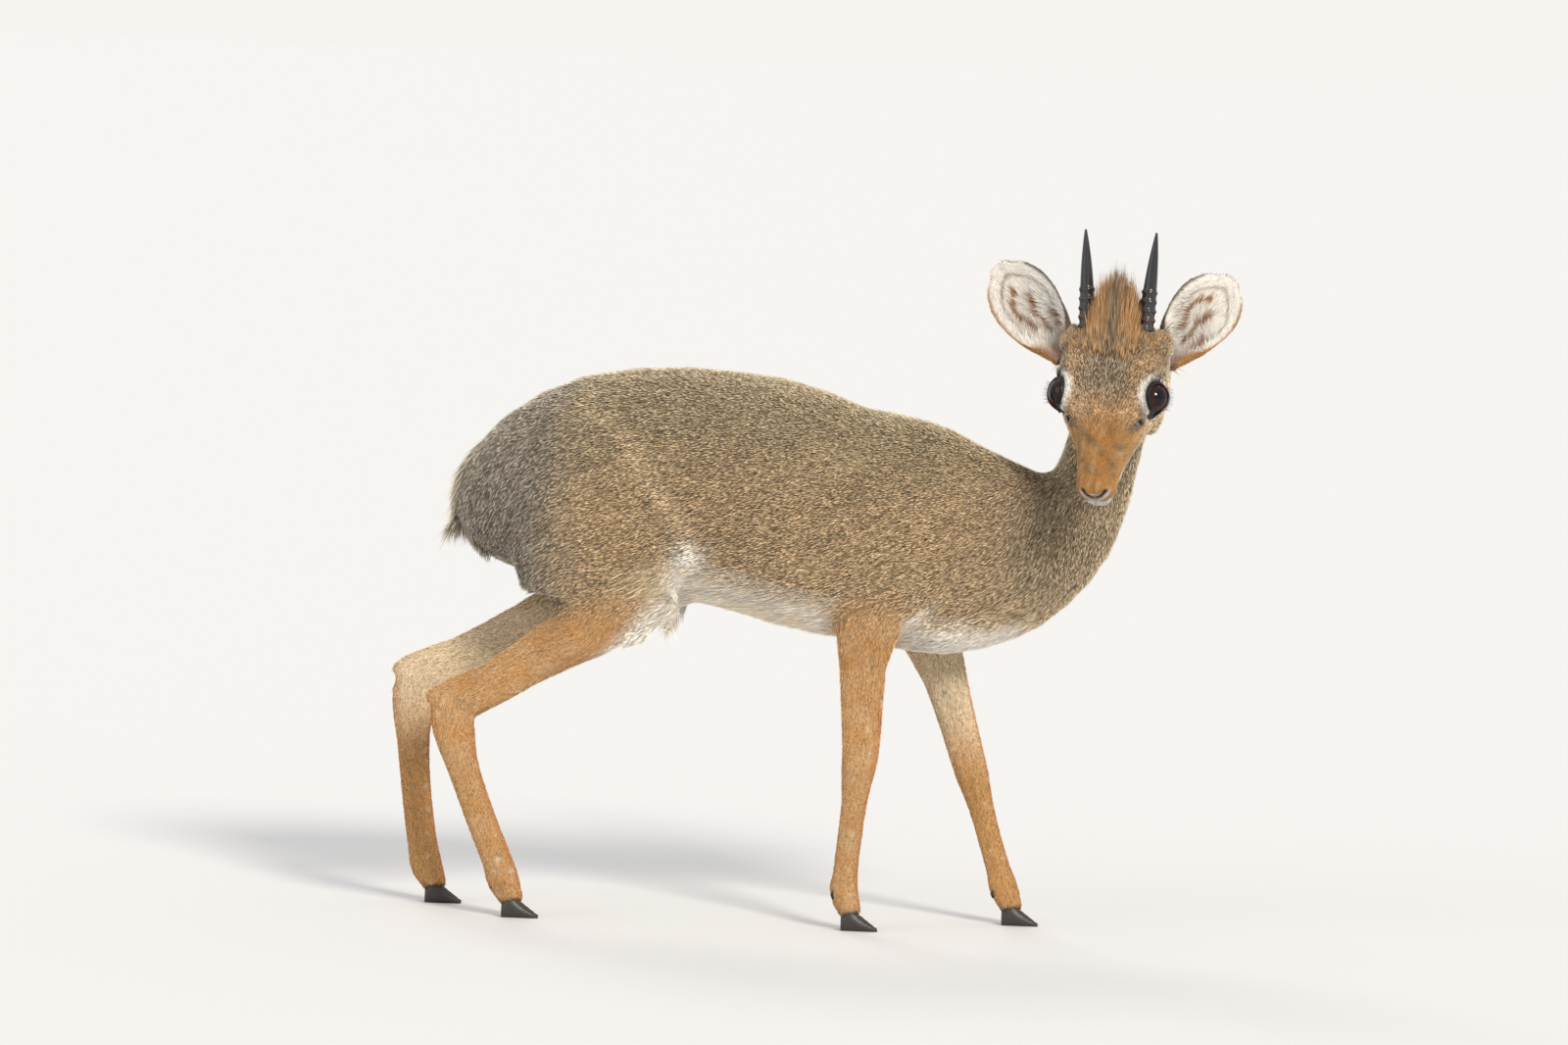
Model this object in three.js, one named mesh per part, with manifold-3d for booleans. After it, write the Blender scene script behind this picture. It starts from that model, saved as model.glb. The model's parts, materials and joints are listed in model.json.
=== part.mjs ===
// A male dik-dik, life size, standing still with its head turned to its right, in millimetres.
// The body faces +X, +Z is up and -Y is the animal's right side. The hooves stand on Z = 0.
import * as THREE from "three";
import { mergeVertices } from "three/addons/utils/BufferGeometryUtils.js";
import Module from "manifold-3d";

const wasm = await Module();
wasm.setup();

// Driving dimensions. The trunk's heights and lengths below are written for this shoulder height.
const SHOULDER_HEIGHT = 367;
const GAP = 0.3; // clear space kept between any two parts
const TRACK = 36; // from the body's middle to each leg
const EYE_RADIUS = 12;
const HORN_LENGTH = 78;
const HORN_RADIUS = 6.4;
const EAR_LENGTH = 92;
const EAR_THICKNESS = 2;
const CLAW_LENGTH = 25;
const CLAW_WIDTH = 7.6;
const CLAW_HEIGHT = 13;
const CLEFT = 1.2; // between the two claws of a foot
const FETLOCK_HEIGHT = 27;
const TAIL_LENGTH = 40;

// The middle of the finished figure's box, which the group is moved back by.
const FRAME_CENTRE = { x: 47.36, y: -17.78 };

// The head's own frame starts between the eyes: +X to the nose, +Y to the animal's left, +Z to the crown.
const EYE_LINE = new THREE.Vector3(250.9, -70, 387);
const HEAD_TURN = -103.5; // degrees, from facing forward to facing the animal's right
const HEAD_NOD = 52; // degrees, nose down
const HEAD_TILT = 0.2; // degrees, towards the animal's left

const RIGHT = -1;
const LEFT = 1;
const SIDES = { right: RIGHT, left: LEFT };

// Small tools

// A point of the smooth curve through rows of numbers, where t runs from 0 to 1 along all the rows.
function along(rows, t) {
  const place = t * (rows.length - 1);
  const i = Math.min(Math.floor(place), rows.length - 2);
  const f = place - i;
  const row = (k) => rows[Math.max(0, Math.min(rows.length - 1, k))];
  return rows[i].map((_, c) => {
    const [p, a, b, n] = [row(i - 1)[c], row(i)[c], row(i + 1)[c], row(i + 2)[c]];
    const bend = 2 * p - 5 * a + 4 * b - n;
    return a + 0.5 * f * (b - p + f * (bend + f * (3 * (a - b) + n - p)));
  });
}

// A number between 0 and 1 that is the same for the same seed on every run.
function draw(seed) {
  const s = Math.sin(seed * 127.1 + 311.7) * 43758.5453;
  return s - Math.floor(s);
}

function smooth(low, high, x) {
  return THREE.MathUtils.smoothstep(x, low, high);
}

// A closed solid from a BufferGeometry.
function solid(geometry) {
  const bare = new THREE.BufferGeometry();
  bare.setAttribute("position", geometry.getAttribute("position"));
  bare.setIndex(geometry.getIndex());
  const merged = mergeVertices(bare, 1e-4);
  return new wasm.Manifold(
    new wasm.Mesh({
      numProp: 3,
      vertProperties: new Float32Array(merged.getAttribute("position").array),
      triVerts: new Uint32Array(merged.getIndex().array),
    }),
  );
}

// A closed solid through rings of points, each ring counter-clockwise when seen from the next one.
function loft(rings) {
  const around = rings[0].length;
  const points = rings.flat();
  const ends = [rings[0], rings[rings.length - 1]].map((ring) =>
    ring.reduce((sum, p) => sum.add(p), new THREE.Vector3()).divideScalar(around),
  );
  const faces = [];
  for (let r = 0; r + 1 < rings.length; r++) {
    for (let k = 0; k < around; k++) {
      const a = r * around + k;
      const b = r * around + ((k + 1) % around);
      faces.push(a, b, b + around, a, b + around, a + around);
    }
  }
  const last = (rings.length - 1) * around;
  for (let k = 0; k < around; k++) {
    const next = (k + 1) % around;
    faces.push(points.length, next, k);
    faces.push(points.length + 1, last + k, last + next);
  }
  const geometry = new THREE.BufferGeometry();
  geometry.setFromPoints([...points, ...ends]);
  geometry.setIndex(faces);
  const made = solid(geometry);
  return made.volume() < 0 ? solid(turned(geometry)) : made;
}

// The same faces, facing the other way.
function turned(geometry) {
  const index = geometry.getIndex().array;
  for (let i = 0; i < index.length; i += 3) {
    [index[i + 1], index[i + 2]] = [index[i + 2], index[i + 1]];
  }
  return geometry;
}

// One oval ring. side is its half width, up and down reach from the centre, and a fullness over 1 squares it.
function oval(centre, sideAxis, upAxis, { side, up, down, fullness = 1, around = 20 }) {
  const power = (c) => Math.sign(c) * Math.abs(c) ** (1 / fullness);
  const ring = [];
  for (let k = 0; k < around; k++) {
    const angle = (2 * Math.PI * k) / around;
    const s = power(Math.cos(angle)) * side;
    const h = power(Math.sin(angle)) * (Math.sin(angle) > 0 ? up : down);
    ring.push(centre.clone().addScaledVector(sideAxis, s).addScaledVector(upAxis, h));
  }
  return ring;
}

const ACROSS = new THREE.Vector3(0, 1, 0);

// A limb through stations [x, y, z, depth, width], its depth measured in the plane of its bends and both halved.
function limb(stations, { rings, around = 12, grow = 0, fullness = 1.05 }) {
  const made = [];
  const at = (t) => along(stations, Math.max(0, Math.min(1, t)));
  for (let r = 0; r <= rings; r++) {
    const t = r / rings;
    const [x, y, z, depth, width] = at(t);
    const [before, after] = [at(t - 0.02), at(t + 0.02)];
    const way = new THREE.Vector3(after[0] - before[0], 0, after[2] - before[2]).normalize();
    const out = new THREE.Vector3().crossVectors(way, ACROSS);
    const centre = new THREE.Vector3(x, y, z);
    if (r === 0) centre.addScaledVector(way, -grow);
    if (r === rings) centre.addScaledVector(way, grow);
    const size = { side: width + grow, up: depth + grow, down: depth + grow };
    made.push(oval(centre, ACROSS, out, { ...size, fullness, around }));
  }
  return loft(made);
}

function ball(radii, centre, detail = 16) {
  const sphere = new THREE.SphereGeometry(1, detail, Math.round(detail * 0.6));
  sphere.deleteAttribute("normal").deleteAttribute("uv");
  sphere.scale(...radii).translate(...centre);
  return solid(sphere);
}

const join = (solids) => wasm.Manifold.union(solids);

// The largest closed body of a solid, which drops loose scraps.
function largest(made) {
  return made.decompose().reduce((best, next) => (next.volume() > best.volume() ? next : best));
}

// A flat, tapered lock of hair that starts along one direction and bends to another.
function lock({ root, from, to, flat, length, width, thickness, steps = 4 }) {
  const rings = [];
  const place = root.clone();
  for (let s = 0; s <= steps; s++) {
    const t = s / steps;
    const way = from.clone().lerp(to, t).normalize();
    if (s > 0) place.addScaledVector(way, length / steps);
    const thin = flat.clone().addScaledVector(way, -flat.dot(way)).normalize();
    const wide = new THREE.Vector3().crossVectors(thin, way);
    const taper = (1 - t ** 1.6) * 0.88 + 0.12;
    const size = { side: (width / 2) * taper, up: (thickness / 2) * taper, down: (thickness / 2) * taper };
    rings.push(oval(place.clone(), wide, thin, { ...size, around: 4 }));
  }
  return loft(rings);
}

// Trunk and neck: rungs from the belly line to the back line, rump first
// Each rung: low x, low z, high x, high z, half width, share of the height where it is widest, offset in y.
const TRUNK = [
  [-207, 288, -208, 302, 8, 0.5, 0],
  [-201, 268, -204, 315, 24, 0.5, 0],
  [-187, 255, -190, 339, 42, 0.5, 0],
  [-160, 244, -160, 365.5, 54, 0.52, 0],
  [-118, 236, -118, 385.5, 61, 0.54, 0],
  [-62, 231, -62, 394, 66, 0.5, 0],
  [-8, 221, -8, 393.5, 70, 0.47, 0],
  [42, 208.5, 42, 386, 70, 0.45, 0],
  [84, 203.5, 84, 371, 62, 0.46, 0],
  [116, 197, 116, 366, 53, 0.46, 0],
  [146, 195, 146, 357, 46, 0.45, 0],
  [182, 202.5, 180, 341, 41, 0.45, 0],
  [215, 219, 200, 332.5, 37, 0.45, 0],
  [241, 243, 212, 329.5, 33.5, 0.48, 0],
  [260, 270, 219, 335.5, 31, 0.5, 0],
  [272, 304, 223, 347, 29.5, 0.5, -1],
  [280, 342, 226, 362, 28, 0.5, -4],
  [286, 376, 233, 388, 27, 0.5, -6],
  [285, 400, 240, 408, 24, 0.5, -14],
];
const HEIGHT_SCALE = SHOULDER_HEIGHT / 367;
const NECK_CUT = { at: [176, 300], normal: [0.86, 0.51] }; // x and z of a point of the cut, and which way the neck lies

function trunk() {
  const rings = [];
  const steps = Math.round((TRUNK.length - 1) * 1.5);
  for (let r = 0; r <= steps; r++) {
    const [lowX, lowZ, highX, highZ, half, belt, y] = along(TRUNK, r / steps);
    const low = new THREE.Vector3(lowX, y, lowZ * HEIGHT_SCALE);
    const high = new THREE.Vector3(highX, y, highZ * HEIGHT_SCALE);
    const height = low.distanceTo(high);
    const up = high.clone().sub(low).normalize();
    const size = { side: half, up: height * (1 - belt), down: height * belt };
    const centre = low.clone().addScaledVector(up, height * belt);
    rings.push(oval(centre, ACROSS, up, { ...size, fullness: 1.08, around: 22 }));
  }
  return loft(rings);
}

// The muscle of the shoulder blade and upper arm, raised a little from the ribs.
function shoulder(side) {
  const y = side * 33;
  return limb(
    [
      [108, side * 18, 352, 14, 12],
      [112, side * 26, 322, 34, 22],
      [118, y, 288, 44, 24],
      [112, y + side * 2, 256, 40, 23],
      [98, y + side * 3, 232, 28, 17],
      [92, y + side * 3, 216, 20, 12],
    ],
    { rings: 8, around: 12 },
  );
}

// Haunch, from the croup down to where the thigh joins the shank.
function haunch(side, back, grow = 0) {
  const y = side * TRACK;
  return limb(
    [
      [-128, y - side * 12, 366, 30, 18],
      [-120, y - side * 6, 340, 56, 29],
      [-110, y, 306, 67, 32],
      [-104 - back * 0.3, y, 274, 67, 31],
      [-101 - back * 0.6, y, 246, 61, 28],
      [-100 - back, y, 224, 49, 23],
      [-108 - back, y, 206, 30, 16],
    ],
    { rings: 10, around: 14, grow },
  );
}

// Legs
// Each leg's stations run down from the body: [x, z, depth, width], and its foot is set by the last one.
const LEGS = {
  fore_right: {
    side: RIGHT,
    cut: 108,
    upper: [
      [100, 262, 30, 15],
      [93, 236, 29, 18],
      [89, 213, 25, 17],
      [87, 189, 18.5, 14.5],
      [87.5, 160, 16, 12.5],
      [88, 133, 14.2, 11.3],
      [87, 117, 12.9, 11.8],
      [85.5, 101, 10.6, 10],
      [84.5, 86, 9.2, 8.4],
      [82, 60, 9, 7.9],
      [80.6, 40, 9.2, 8.2],
      [80, FETLOCK_HEIGHT, 10.8, 9.6],
      [84, 16, 8.8, 8.8],
      [87, 9, 7.2, 7.6],
    ],
  },
  fore_left: {
    side: LEFT,
    cut: 99,
    upper: [
      [122, 250, 30, 15],
      [130, 222, 27, 18],
      [139, 197, 21.5, 16.5],
      [146.5, 178, 17.2, 14.5],
      [155, 152, 14.6, 12.2],
      [163, 127, 13.2, 11.2],
      [169, 108, 12.4, 11.7],
      [174, 93, 10.4, 10],
      [178, 80, 9.1, 8.4],
      [185.5, 56, 8.8, 7.9],
      [191.5, 38, 9.2, 8.2],
      [195, FETLOCK_HEIGHT, 10.8, 9.6],
      [200, 16, 8.8, 8.8],
      [203, 9, 7.2, 7.6],
    ],
  },
  hind_right: {
    side: RIGHT,
    cut: 122,
    back: 0,
    shank: [
      [-60, 246, 32, 22],
      [-85, 225, 28.5, 20],
      [-113, 205.5, 23.5, 16],
      [-140, 188.5, 18.5, 12],
      [-168, 169.5, 16.4, 10.2],
      [-190, 156, 15.5, 10.4],
      [-205, 147, 11, 9],
    ],
    heel: [
      [-176, 176, 6, 5],
      [-200, 163, 8, 6.5],
      [-214, 154, 9, 7.5],
      [-220, 150, 5, 5],
    ],
    upper: [
      [-201, 158, 12, 8.5],
      [-203, 145, 16.5, 10.6],
      [-200, 128, 15.2, 10.6],
      [-195, 110, 12.2, 9.4],
      [-189, 93.5, 11.2, 8.8],
      [-181, 73, 11, 8.5],
      [-172.5, 53, 11, 8.5],
      [-166, 38, 11.2, 9],
      [-162.5, FETLOCK_HEIGHT, 12, 10],
      [-157, 16, 9.6, 9],
      [-154, 9, 7.6, 7.8],
    ],
  },
  hind_left: {
    side: LEFT,
    cut: 129,
    back: 8,
    shank: [
      [-82, 242, 33, 22],
      [-106, 224, 30, 20],
      [-136, 208, 24, 16],
      [-166, 194, 18.5, 12],
      [-196, 179, 16.2, 10.2],
      [-220, 166.5, 15.5, 10.4],
      [-234, 159, 11, 9],
    ],
    heel: [
      [-203, 187, 6, 5],
      [-228, 175, 8, 6.5],
      [-241.5, 166.5, 9, 7.5],
      [-248, 163, 5, 5],
    ],
    upper: [
      [-230, 168, 12, 8.5],
      [-233, 154, 16.5, 10.6],
      [-233.5, 137, 15.2, 10.6],
      [-232.5, 118, 12.4, 9.4],
      [-231, 99, 11.4, 8.8],
      [-228.5, 77, 11, 8.5],
      [-225.5, 56, 11, 8.5],
      [-222.5, 39, 11.2, 9],
      [-220, FETLOCK_HEIGHT, 12, 10],
      [-214.5, 16, 9.6, 9],
      [-211.5, 9, 7.6, 7.8],
    ],
  },
};
const GROIN_CUT = 272; // height of the flat top of each hind leg
const ELBOW_CUT = 246; // height of the flat top of each foreleg

const stationsOf = (rows, side) => rows.map(([x, z, depth, width]) => [x, side * TRACK, z, depth, width]);

// One whole leg without its claws, grown by a little where another part is cut to fit it.
function leg(name, grow = 0) {
  const { side, upper, shank, heel, back } = LEGS[name];
  const pieces = [limb(stationsOf(upper, side), { rings: 17, around: 10, grow })];
  if (shank) {
    pieces.push(limb(stationsOf(shank, side), { rings: 7, around: 12, grow }));
    pieces.push(limb(stationsOf(heel, side), { rings: 4, around: 8, grow }));
    pieces.push(haunch(side, back, grow));
  }
  const top = (shank ? GROIN_CUT : ELBOW_CUT) + grow;
  return join(pieces).trimByPlane([0, 0, -1], -top);
}

// One claw: a pointed, flat-soled half of the hoof, its inner wall straight along the cleft.
function claw(legName, inner, grow = 0) {
  const { side, upper } = LEGS[legName];
  const [x] = upper[upper.length - 1];
  const outward = inner ? -side : side;
  const middle = side * TRACK + outward * (CLEFT / 2 + CLAW_WIDTH / 2);
  const levels = [
    { z: 0, length: CLAW_LENGTH, width: CLAW_WIDTH, shift: 5.5 },
    { z: CLAW_HEIGHT * 0.45, length: CLAW_LENGTH * 0.86, width: CLAW_WIDTH, shift: 3.2 },
    { z: CLAW_HEIGHT, length: CLAW_LENGTH * 0.6, width: CLAW_WIDTH * 0.9, shift: -1 },
  ];
  const rings = levels.map(({ z, length, width, shift }, level) => {
    const ring = [];
    for (let k = 0; k < 14; k++) {
      const angle = (2 * Math.PI * k) / 14;
      const reach = Math.cos(angle);
      const point = 1 - 0.55 * smooth(0, 1, reach); // narrows to the toe
      const half = width / 2 + grow;
      const wall = Math.sin(angle) * outward > 0 ? half * point : Math.min(half, half * point + 1.4);
      const rise = level === 2 ? reach * 1.6 : 0;
      const lift = level === 0 ? -grow : level === 2 ? grow : 0;
      const px = x + shift + reach * (length / 2 + grow);
      ring.push(new THREE.Vector3(px, middle + Math.sin(angle) * wall, z + rise + lift));
    }
    return ring;
  });
  return loft(rings);
}

// Tail: a short cone of flesh with locks laid along it
function tail(grow = 0) {
  const root = [-189, 0, 327];
  const reach = [
    [root[0] + 4, 0, root[2] + 4, 9, 8],
    [root[0] - 9, 0, root[2] - 9, 8.5, 8],
    [root[0] - 15, 0, root[2] - TAIL_LENGTH * 0.62, 7, 6.5],
    [root[0] - 17, 0, root[2] - TAIL_LENGTH, 4, 4],
  ];
  return limb(reach, { rings: 6, around: 10, grow });
}

function tailLocks() {
  const locks = [];
  for (let i = 0; i < 12; i++) {
    const row = i % 4;
    const turn = Math.floor(i / 4) - 1;
    const z = 316 - row * 7.5;
    const x = -200 - row * 1.2;
    const back = new THREE.Vector3(-1, turn * 0.9, 0).normalize();
    const root = new THREE.Vector3(x, turn * 5, z).addScaledVector(back, 2.5);
    locks.push(
      lock({
        root,
        from: new THREE.Vector3(-0.45, turn * 0.35, -1),
        to: new THREE.Vector3(-0.2 + 0.3 * draw(i), turn * 0.1, -1),
        flat: back,
        length: 27 + 9 * draw(i + 40),
        width: 6.5,
        thickness: 2.6,
      }),
    );
  }
  return locks;
}

// White hair at the sheath under the belly, rooted in the groin
function sheath() {
  return limb(
    [
      [-30, 0, 236, 7, 8],
      [-48, 0, 227, 10, 11],
      [-66, 0, 222, 11, 13],
      [-82, 0, 226, 9, 12],
    ],
    { rings: 7, around: 12 },
  );
}

function sheathLocks() {
  const locks = [];
  for (let i = 0; i < 9; i++) {
    const turn = (i % 3) - 1;
    const row = Math.floor(i / 3);
    locks.push(
      lock({
        root: new THREE.Vector3(-46 - row * 5, turn * 4.2, 224),
        from: new THREE.Vector3(0.1 - row * 0.12, turn * 0.25, -1),
        to: new THREE.Vector3(0.25 - row * 0.3, turn * 0.1, -1),
        flat: new THREE.Vector3(1, 0, 0.2),
        length: 22 + 7 * draw(i + 7),
        width: 6,
        thickness: 3,
      }),
    );
  }
  return locks;
}

// Head, in its own frame
// Skull and muzzle, nape first: [x, centre height, half width, up, down].
const SKULL = [
  [-66, -4, 9, 8, 9],
  [-61, -4, 23, 17, 19],
  [-51, -5, 33, 23, 28],
  [-38, -6, 38.5, 29, 31],
  [-20, -7, 40, 31, 32],
  [-4, -8, 38, 29, 31],
  [10, -10, 32.5, 25.5, 28],
  [23, -12.5, 25.5, 21, 23],
  [36, -14.5, 19.4, 18.4, 18],
  [49, -16, 16.4, 17, 15],
  [60, -17.5, 15, 15.6, 12.5],
  [68, -19, 12.6, 12.6, 9.5],
  [73, -20, 7.5, 8, 6.5],
];
// Lower jaw, from its angle to the chin, in the same columns.
const JAW = [
  [-44, -30, 17, 12, 12],
  [-32, -33, 26, 14, 14],
  [-14, -33, 28.5, 14, 15],
  [8, -31.5, 23.5, 12, 12.5],
  [28, -30, 17.5, 10, 10.5],
  [46, -31, 12.6, 8, 9],
  [58, -32, 10, 7, 8],
  [66, -32.5, 7, 5.5, 6.2],
];
const EYE_PLACE = { x: -2, y: 30.5, z: 0 };
const HORN_PLACE = { x: -42, y: 20, z: 10 };
const HORN_LEAN = { x: -0.83, y: 0.07, z: 0.55 };
const HORN_RINGS = 6;
const EAR_PLACE = { x: -34, y: 35, z: 0 };
// Each ear stands a little differently: its axis from root to tip, and the way its cup faces.
const EARS = {
  right: { axis: [-0.73, -0.655, 0.14], face: [0.55, 0.1, 0.82] },
  left: { axis: [-0.915, 0.385, -0.11], face: [0.55, 0.16, 0.82] },
};

function headLoft(rows, { rings, around, grow, fullness }) {
  const made = [];
  const forward = new THREE.Vector3(1, 0, 0);
  for (let r = 0; r <= rings; r++) {
    const [x, z, half, up, down] = along(rows, r / rings);
    const reach = r === 0 ? -grow : r === rings ? grow : 0;
    const centre = new THREE.Vector3(x + reach, 0, z);
    const size = { side: half + grow, up: up + grow, down: down + grow };
    made.push(oval(centre, ACROSS, new THREE.Vector3(0, 0, 1), { ...size, fullness, around }));
  }
  return loft(made);
}

// The head's outer form without eyes, mouth or hair.
function headBlank(grow = 0) {
  const pieces = [
    headLoft(SKULL, { rings: 20, around: 20, grow, fullness: 1.06 }),
    headLoft(JAW, { rings: 9, around: 14, grow, fullness: 1.06 }),
  ];
  for (const side of [RIGHT, LEFT]) {
    const g = grow;
    pieces.push(ball([18 + g, 10 + g, 15 + g], [EYE_PLACE.x - 1, side * 28.5, 1.5], 14)); // brow and lids
    pieces.push(ball([23 + g, 10 + g, 18 + g], [-12, side * 26.5, -23], 14)); // cheek
    pieces.push(ball([13 + g, 10 + g, 12 + g], [-43, side * 31, 4], 12)); // root of the ear
    pieces.push(ball([8 + g, 8 + g, 7 + g], [-45, side * 20.5, 12], 10)); // pedicle under the horn
  }
  return join(pieces);
}

// The opening between the lids, pointed towards the nose.
function lidOpening(side) {
  const outline = new THREE.Shape();
  outline.moveTo(-12.2, 0.5);
  outline.quadraticCurveTo(-3, 13.5, 8, 6);
  outline.lineTo(14.5, -4.5);
  outline.quadraticCurveTo(2, -13.5, -8, -7);
  outline.quadraticCurveTo(-11, -4.5, -12.2, 0.5);
  const bar = new THREE.ExtrudeGeometry(outline, { depth: 20, bevelEnabled: false, curveSegments: 5 });
  bar.deleteAttribute("normal").deleteAttribute("uv");
  bar.rotateX(Math.PI / 2).scale(1, side, 1);
  bar.translate(EYE_PLACE.x, side * 28, EYE_PLACE.z);
  const flat = mergeVertices(bar, 1e-4);
  const made = solid(side > 0 ? turned(flat) : flat);
  return made.volume() < 0 ? solid(turned(flat)) : made;
}

function nostril(side) {
  const slit = limb(
    [
      [63, 0, -9.5, 1, 1],
      [67.5, 0, -12, 1.5, 2.2],
      [70.5, 0, -15.5, 1.7, 2.4],
      [72.5, 0, -19.5, 1.3, 1.6],
    ],
    { rings: 6, around: 8 },
  );
  return slit.rotate([side * -24, 0, 0]).translate([0, side * 10.2, 1]);
}

// The slit between the lips: a thin slab as wide as the muzzle, without the part deep inside it.
function mouthLine() {
  const slab = new THREE.BoxGeometry(60, 60, 1.1);
  slab.deleteAttribute("normal").deleteAttribute("uv");
  slab.rotateY(THREE.MathUtils.degToRad(2)).translate(62, 0, -27);
  return solid(slab)
    .subtract(headBlank(-2.6))
    .trimByPlane([1, 0, 0], 34);
}

const CREST_TOP = 88; // height of its tips over the eye line, measured upright

function crestLocks() {
  const locks = [];
  const nod = THREE.MathUtils.degToRad(HEAD_NOD);
  for (let row = 0; row < 5; row++) {
    const x = -29 - row * 6;
    for (let k = 0; k < 4; k++) {
      const seed = row * 4 + k;
      const share = (k / 3) * 2 - 1;
      const y = 1.5 + share * 12 + (draw(seed) - 0.5) * 2;
      const scalp = 21 - (row / 4) ** 2 * 8 - (y / 30) ** 2 * 7;
      const height = scalp * Math.cos(nod) - x * Math.sin(nod);
      locks.push(
        lock({
          root: new THREE.Vector3(x, y, scalp - 4),
          from: new THREE.Vector3(-0.66, 0, 0.75),
          to: new THREE.Vector3(-0.83, -share * 0.08, 0.56),
          flat: new THREE.Vector3(0.7, 0, 0.6),
          length: CREST_TOP - height + 4 - Math.abs(share) * 5 - 7 * draw(seed + 50),
          width: 9.4,
          thickness: 3.6,
          steps: 3,
        }),
      );
    }
  }
  return locks;
}

function horn(side, grow = 0) {
  const lean = new THREE.Vector3(HORN_LEAN.x, side * HORN_LEAN.y, HORN_LEAN.z).normalize();
  const forward = new THREE.Vector3(HORN_LEAN.z, 0, -HORN_LEAN.x).normalize();
  const across = new THREE.Vector3().crossVectors(forward, lean);
  const root = new THREE.Vector3(HORN_PLACE.x, side * HORN_PLACE.y, HORN_PLACE.z);
  const rings = [];
  const steps = 26;
  for (let s = 0; s <= steps; s++) {
    const t = s / steps;
    const ridge = t < 0.5 ? 0.085 * (0.5 - 0.5 * Math.cos(t * 2 * HORN_RINGS * 2 * Math.PI)) : 0;
    const taper = 1 - 0.28 * t - 0.6 * t ** 3.2;
    const radius = HORN_RADIUS * (taper + ridge) + grow;
    const centre = root
      .clone()
      .addScaledVector(lean, HORN_LENGTH * t)
      .addScaledVector(forward, 3.2 * t * t);
    rings.push(oval(centre, across, forward, { side: radius * 0.94, up: radius, down: radius, around: 9 }));
  }
  return loft(rings);
}

// An ear: a cupped leaf with an even wall. Rows: half width, half angle of its arc in degrees.
const EAR_SHAPE = [
  [9.5, 128],
  [14, 118],
  [19, 98],
  [22, 80],
  [23.6, 66],
  [23.6, 56],
  [21.2, 46],
  [15.5, 36],
  [3, 26],
];

function ear(word) {
  const side = SIDES[word];
  const axis = new THREE.Vector3(...EARS[word].axis).normalize();
  const face = new THREE.Vector3(...EARS[word].face);
  face.addScaledVector(axis, -face.dot(axis)).normalize();
  const across = new THREE.Vector3().crossVectors(axis, face);
  const root = new THREE.Vector3(EAR_PLACE.x, side * EAR_PLACE.y, EAR_PLACE.z);
  const rows = 12;
  const columns = 10;
  const walls = [0, EAR_THICKNESS].map((depth) => {
    const grid = [];
    for (let r = 0; r <= rows; r++) {
      const t = r / rows;
      const [half, degrees] = along(EAR_SHAPE, t);
      const arc = THREE.MathUtils.degToRad(degrees);
      const radius = half / Math.sin(Math.min(arc, Math.PI / 2));
      const sag = (radius * (1 - Math.cos(arc))) / 2;
      const middle = root
        .clone()
        .addScaledVector(axis, t * EAR_LENGTH)
        .addScaledVector(face, radius - sag - 5 * t * t);
      const inner = Math.max(radius - depth, 0.3);
      for (let c = 0; c <= columns; c++) {
        const angle = arc * ((2 * c) / columns - 1);
        grid.push(
          middle
            .clone()
            .addScaledVector(across, inner * Math.sin(angle))
            .addScaledVector(face, -inner * Math.cos(angle)),
        );
      }
    }
    return grid;
  });
  const wide = columns + 1;
  const other = walls[0].length;
  const faces = [];
  const quad = (a, b, c, d) => faces.push(a, b, c, a, c, d);
  for (let r = 0; r < rows; r++) {
    for (let c = 0; c < columns; c++) {
      const [a, b] = [r * wide + c, r * wide + c + 1];
      const [d, e] = [a + wide, b + wide];
      faces.push(a, b, e, a, e, d);
      faces.push(other + a, other + e, other + b, other + a, other + d, other + e);
    }
    const [left, right] = [r * wide, r * wide + columns];
    quad(left, left + wide, other + left + wide, other + left);
    quad(right, other + right, other + right + wide, right + wide);
  }
  for (let c = 0; c < columns; c++) {
    const tip = rows * wide + c;
    quad(c + 1, c, other + c, other + c + 1);
    quad(tip, tip + 1, other + tip + 1, other + tip);
  }
  const geometry = new THREE.BufferGeometry();
  geometry.setFromPoints(walls.flat());
  geometry.setIndex(faces);
  const made = solid(geometry);
  return made.volume() < 0 ? solid(turned(geometry)) : made;
}

// Materials
const finish = (color, roughness) => new THREE.MeshStandardMaterial({ color, roughness, metalness: 0 });
const COAT_GREY = finish(0x8f7a5c, 0.9);
const COAT_TAN = finish(0xc08a4e, 0.9);
const COAT_FACE = finish(0xa8703a, 0.9);
const COAT_WHITE = finish(0xd9d2c4, 0.9);
const HORN = finish(0x2a2424, 0.35);
const HOOF = finish(0x1f1a18, 0.45);
const EYE = finish(0x24100a, 0.08);

// Assembly: every part is cut clear of the ones that it meets
const parts = new THREE.Group();
parts.name = "dik_dik";
parts.position.set(-FRAME_CENTRE.x, -FRAME_CENTRE.y, 0);
const headGroup = new THREE.Group();
headGroup.position.copy(EYE_LINE);
const degrees = THREE.MathUtils.degToRad;
headGroup.quaternion
  .setFromAxisAngle(ACROSS, degrees(HEAD_TILT))
  .multiply(new THREE.Quaternion().setFromAxisAngle(new THREE.Vector3(0, 0, 1), degrees(HEAD_TURN)))
  .multiply(new THREE.Quaternion().setFromAxisAngle(ACROSS, degrees(HEAD_NOD)));
headGroup.updateMatrix();
parts.add(headGroup);

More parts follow.
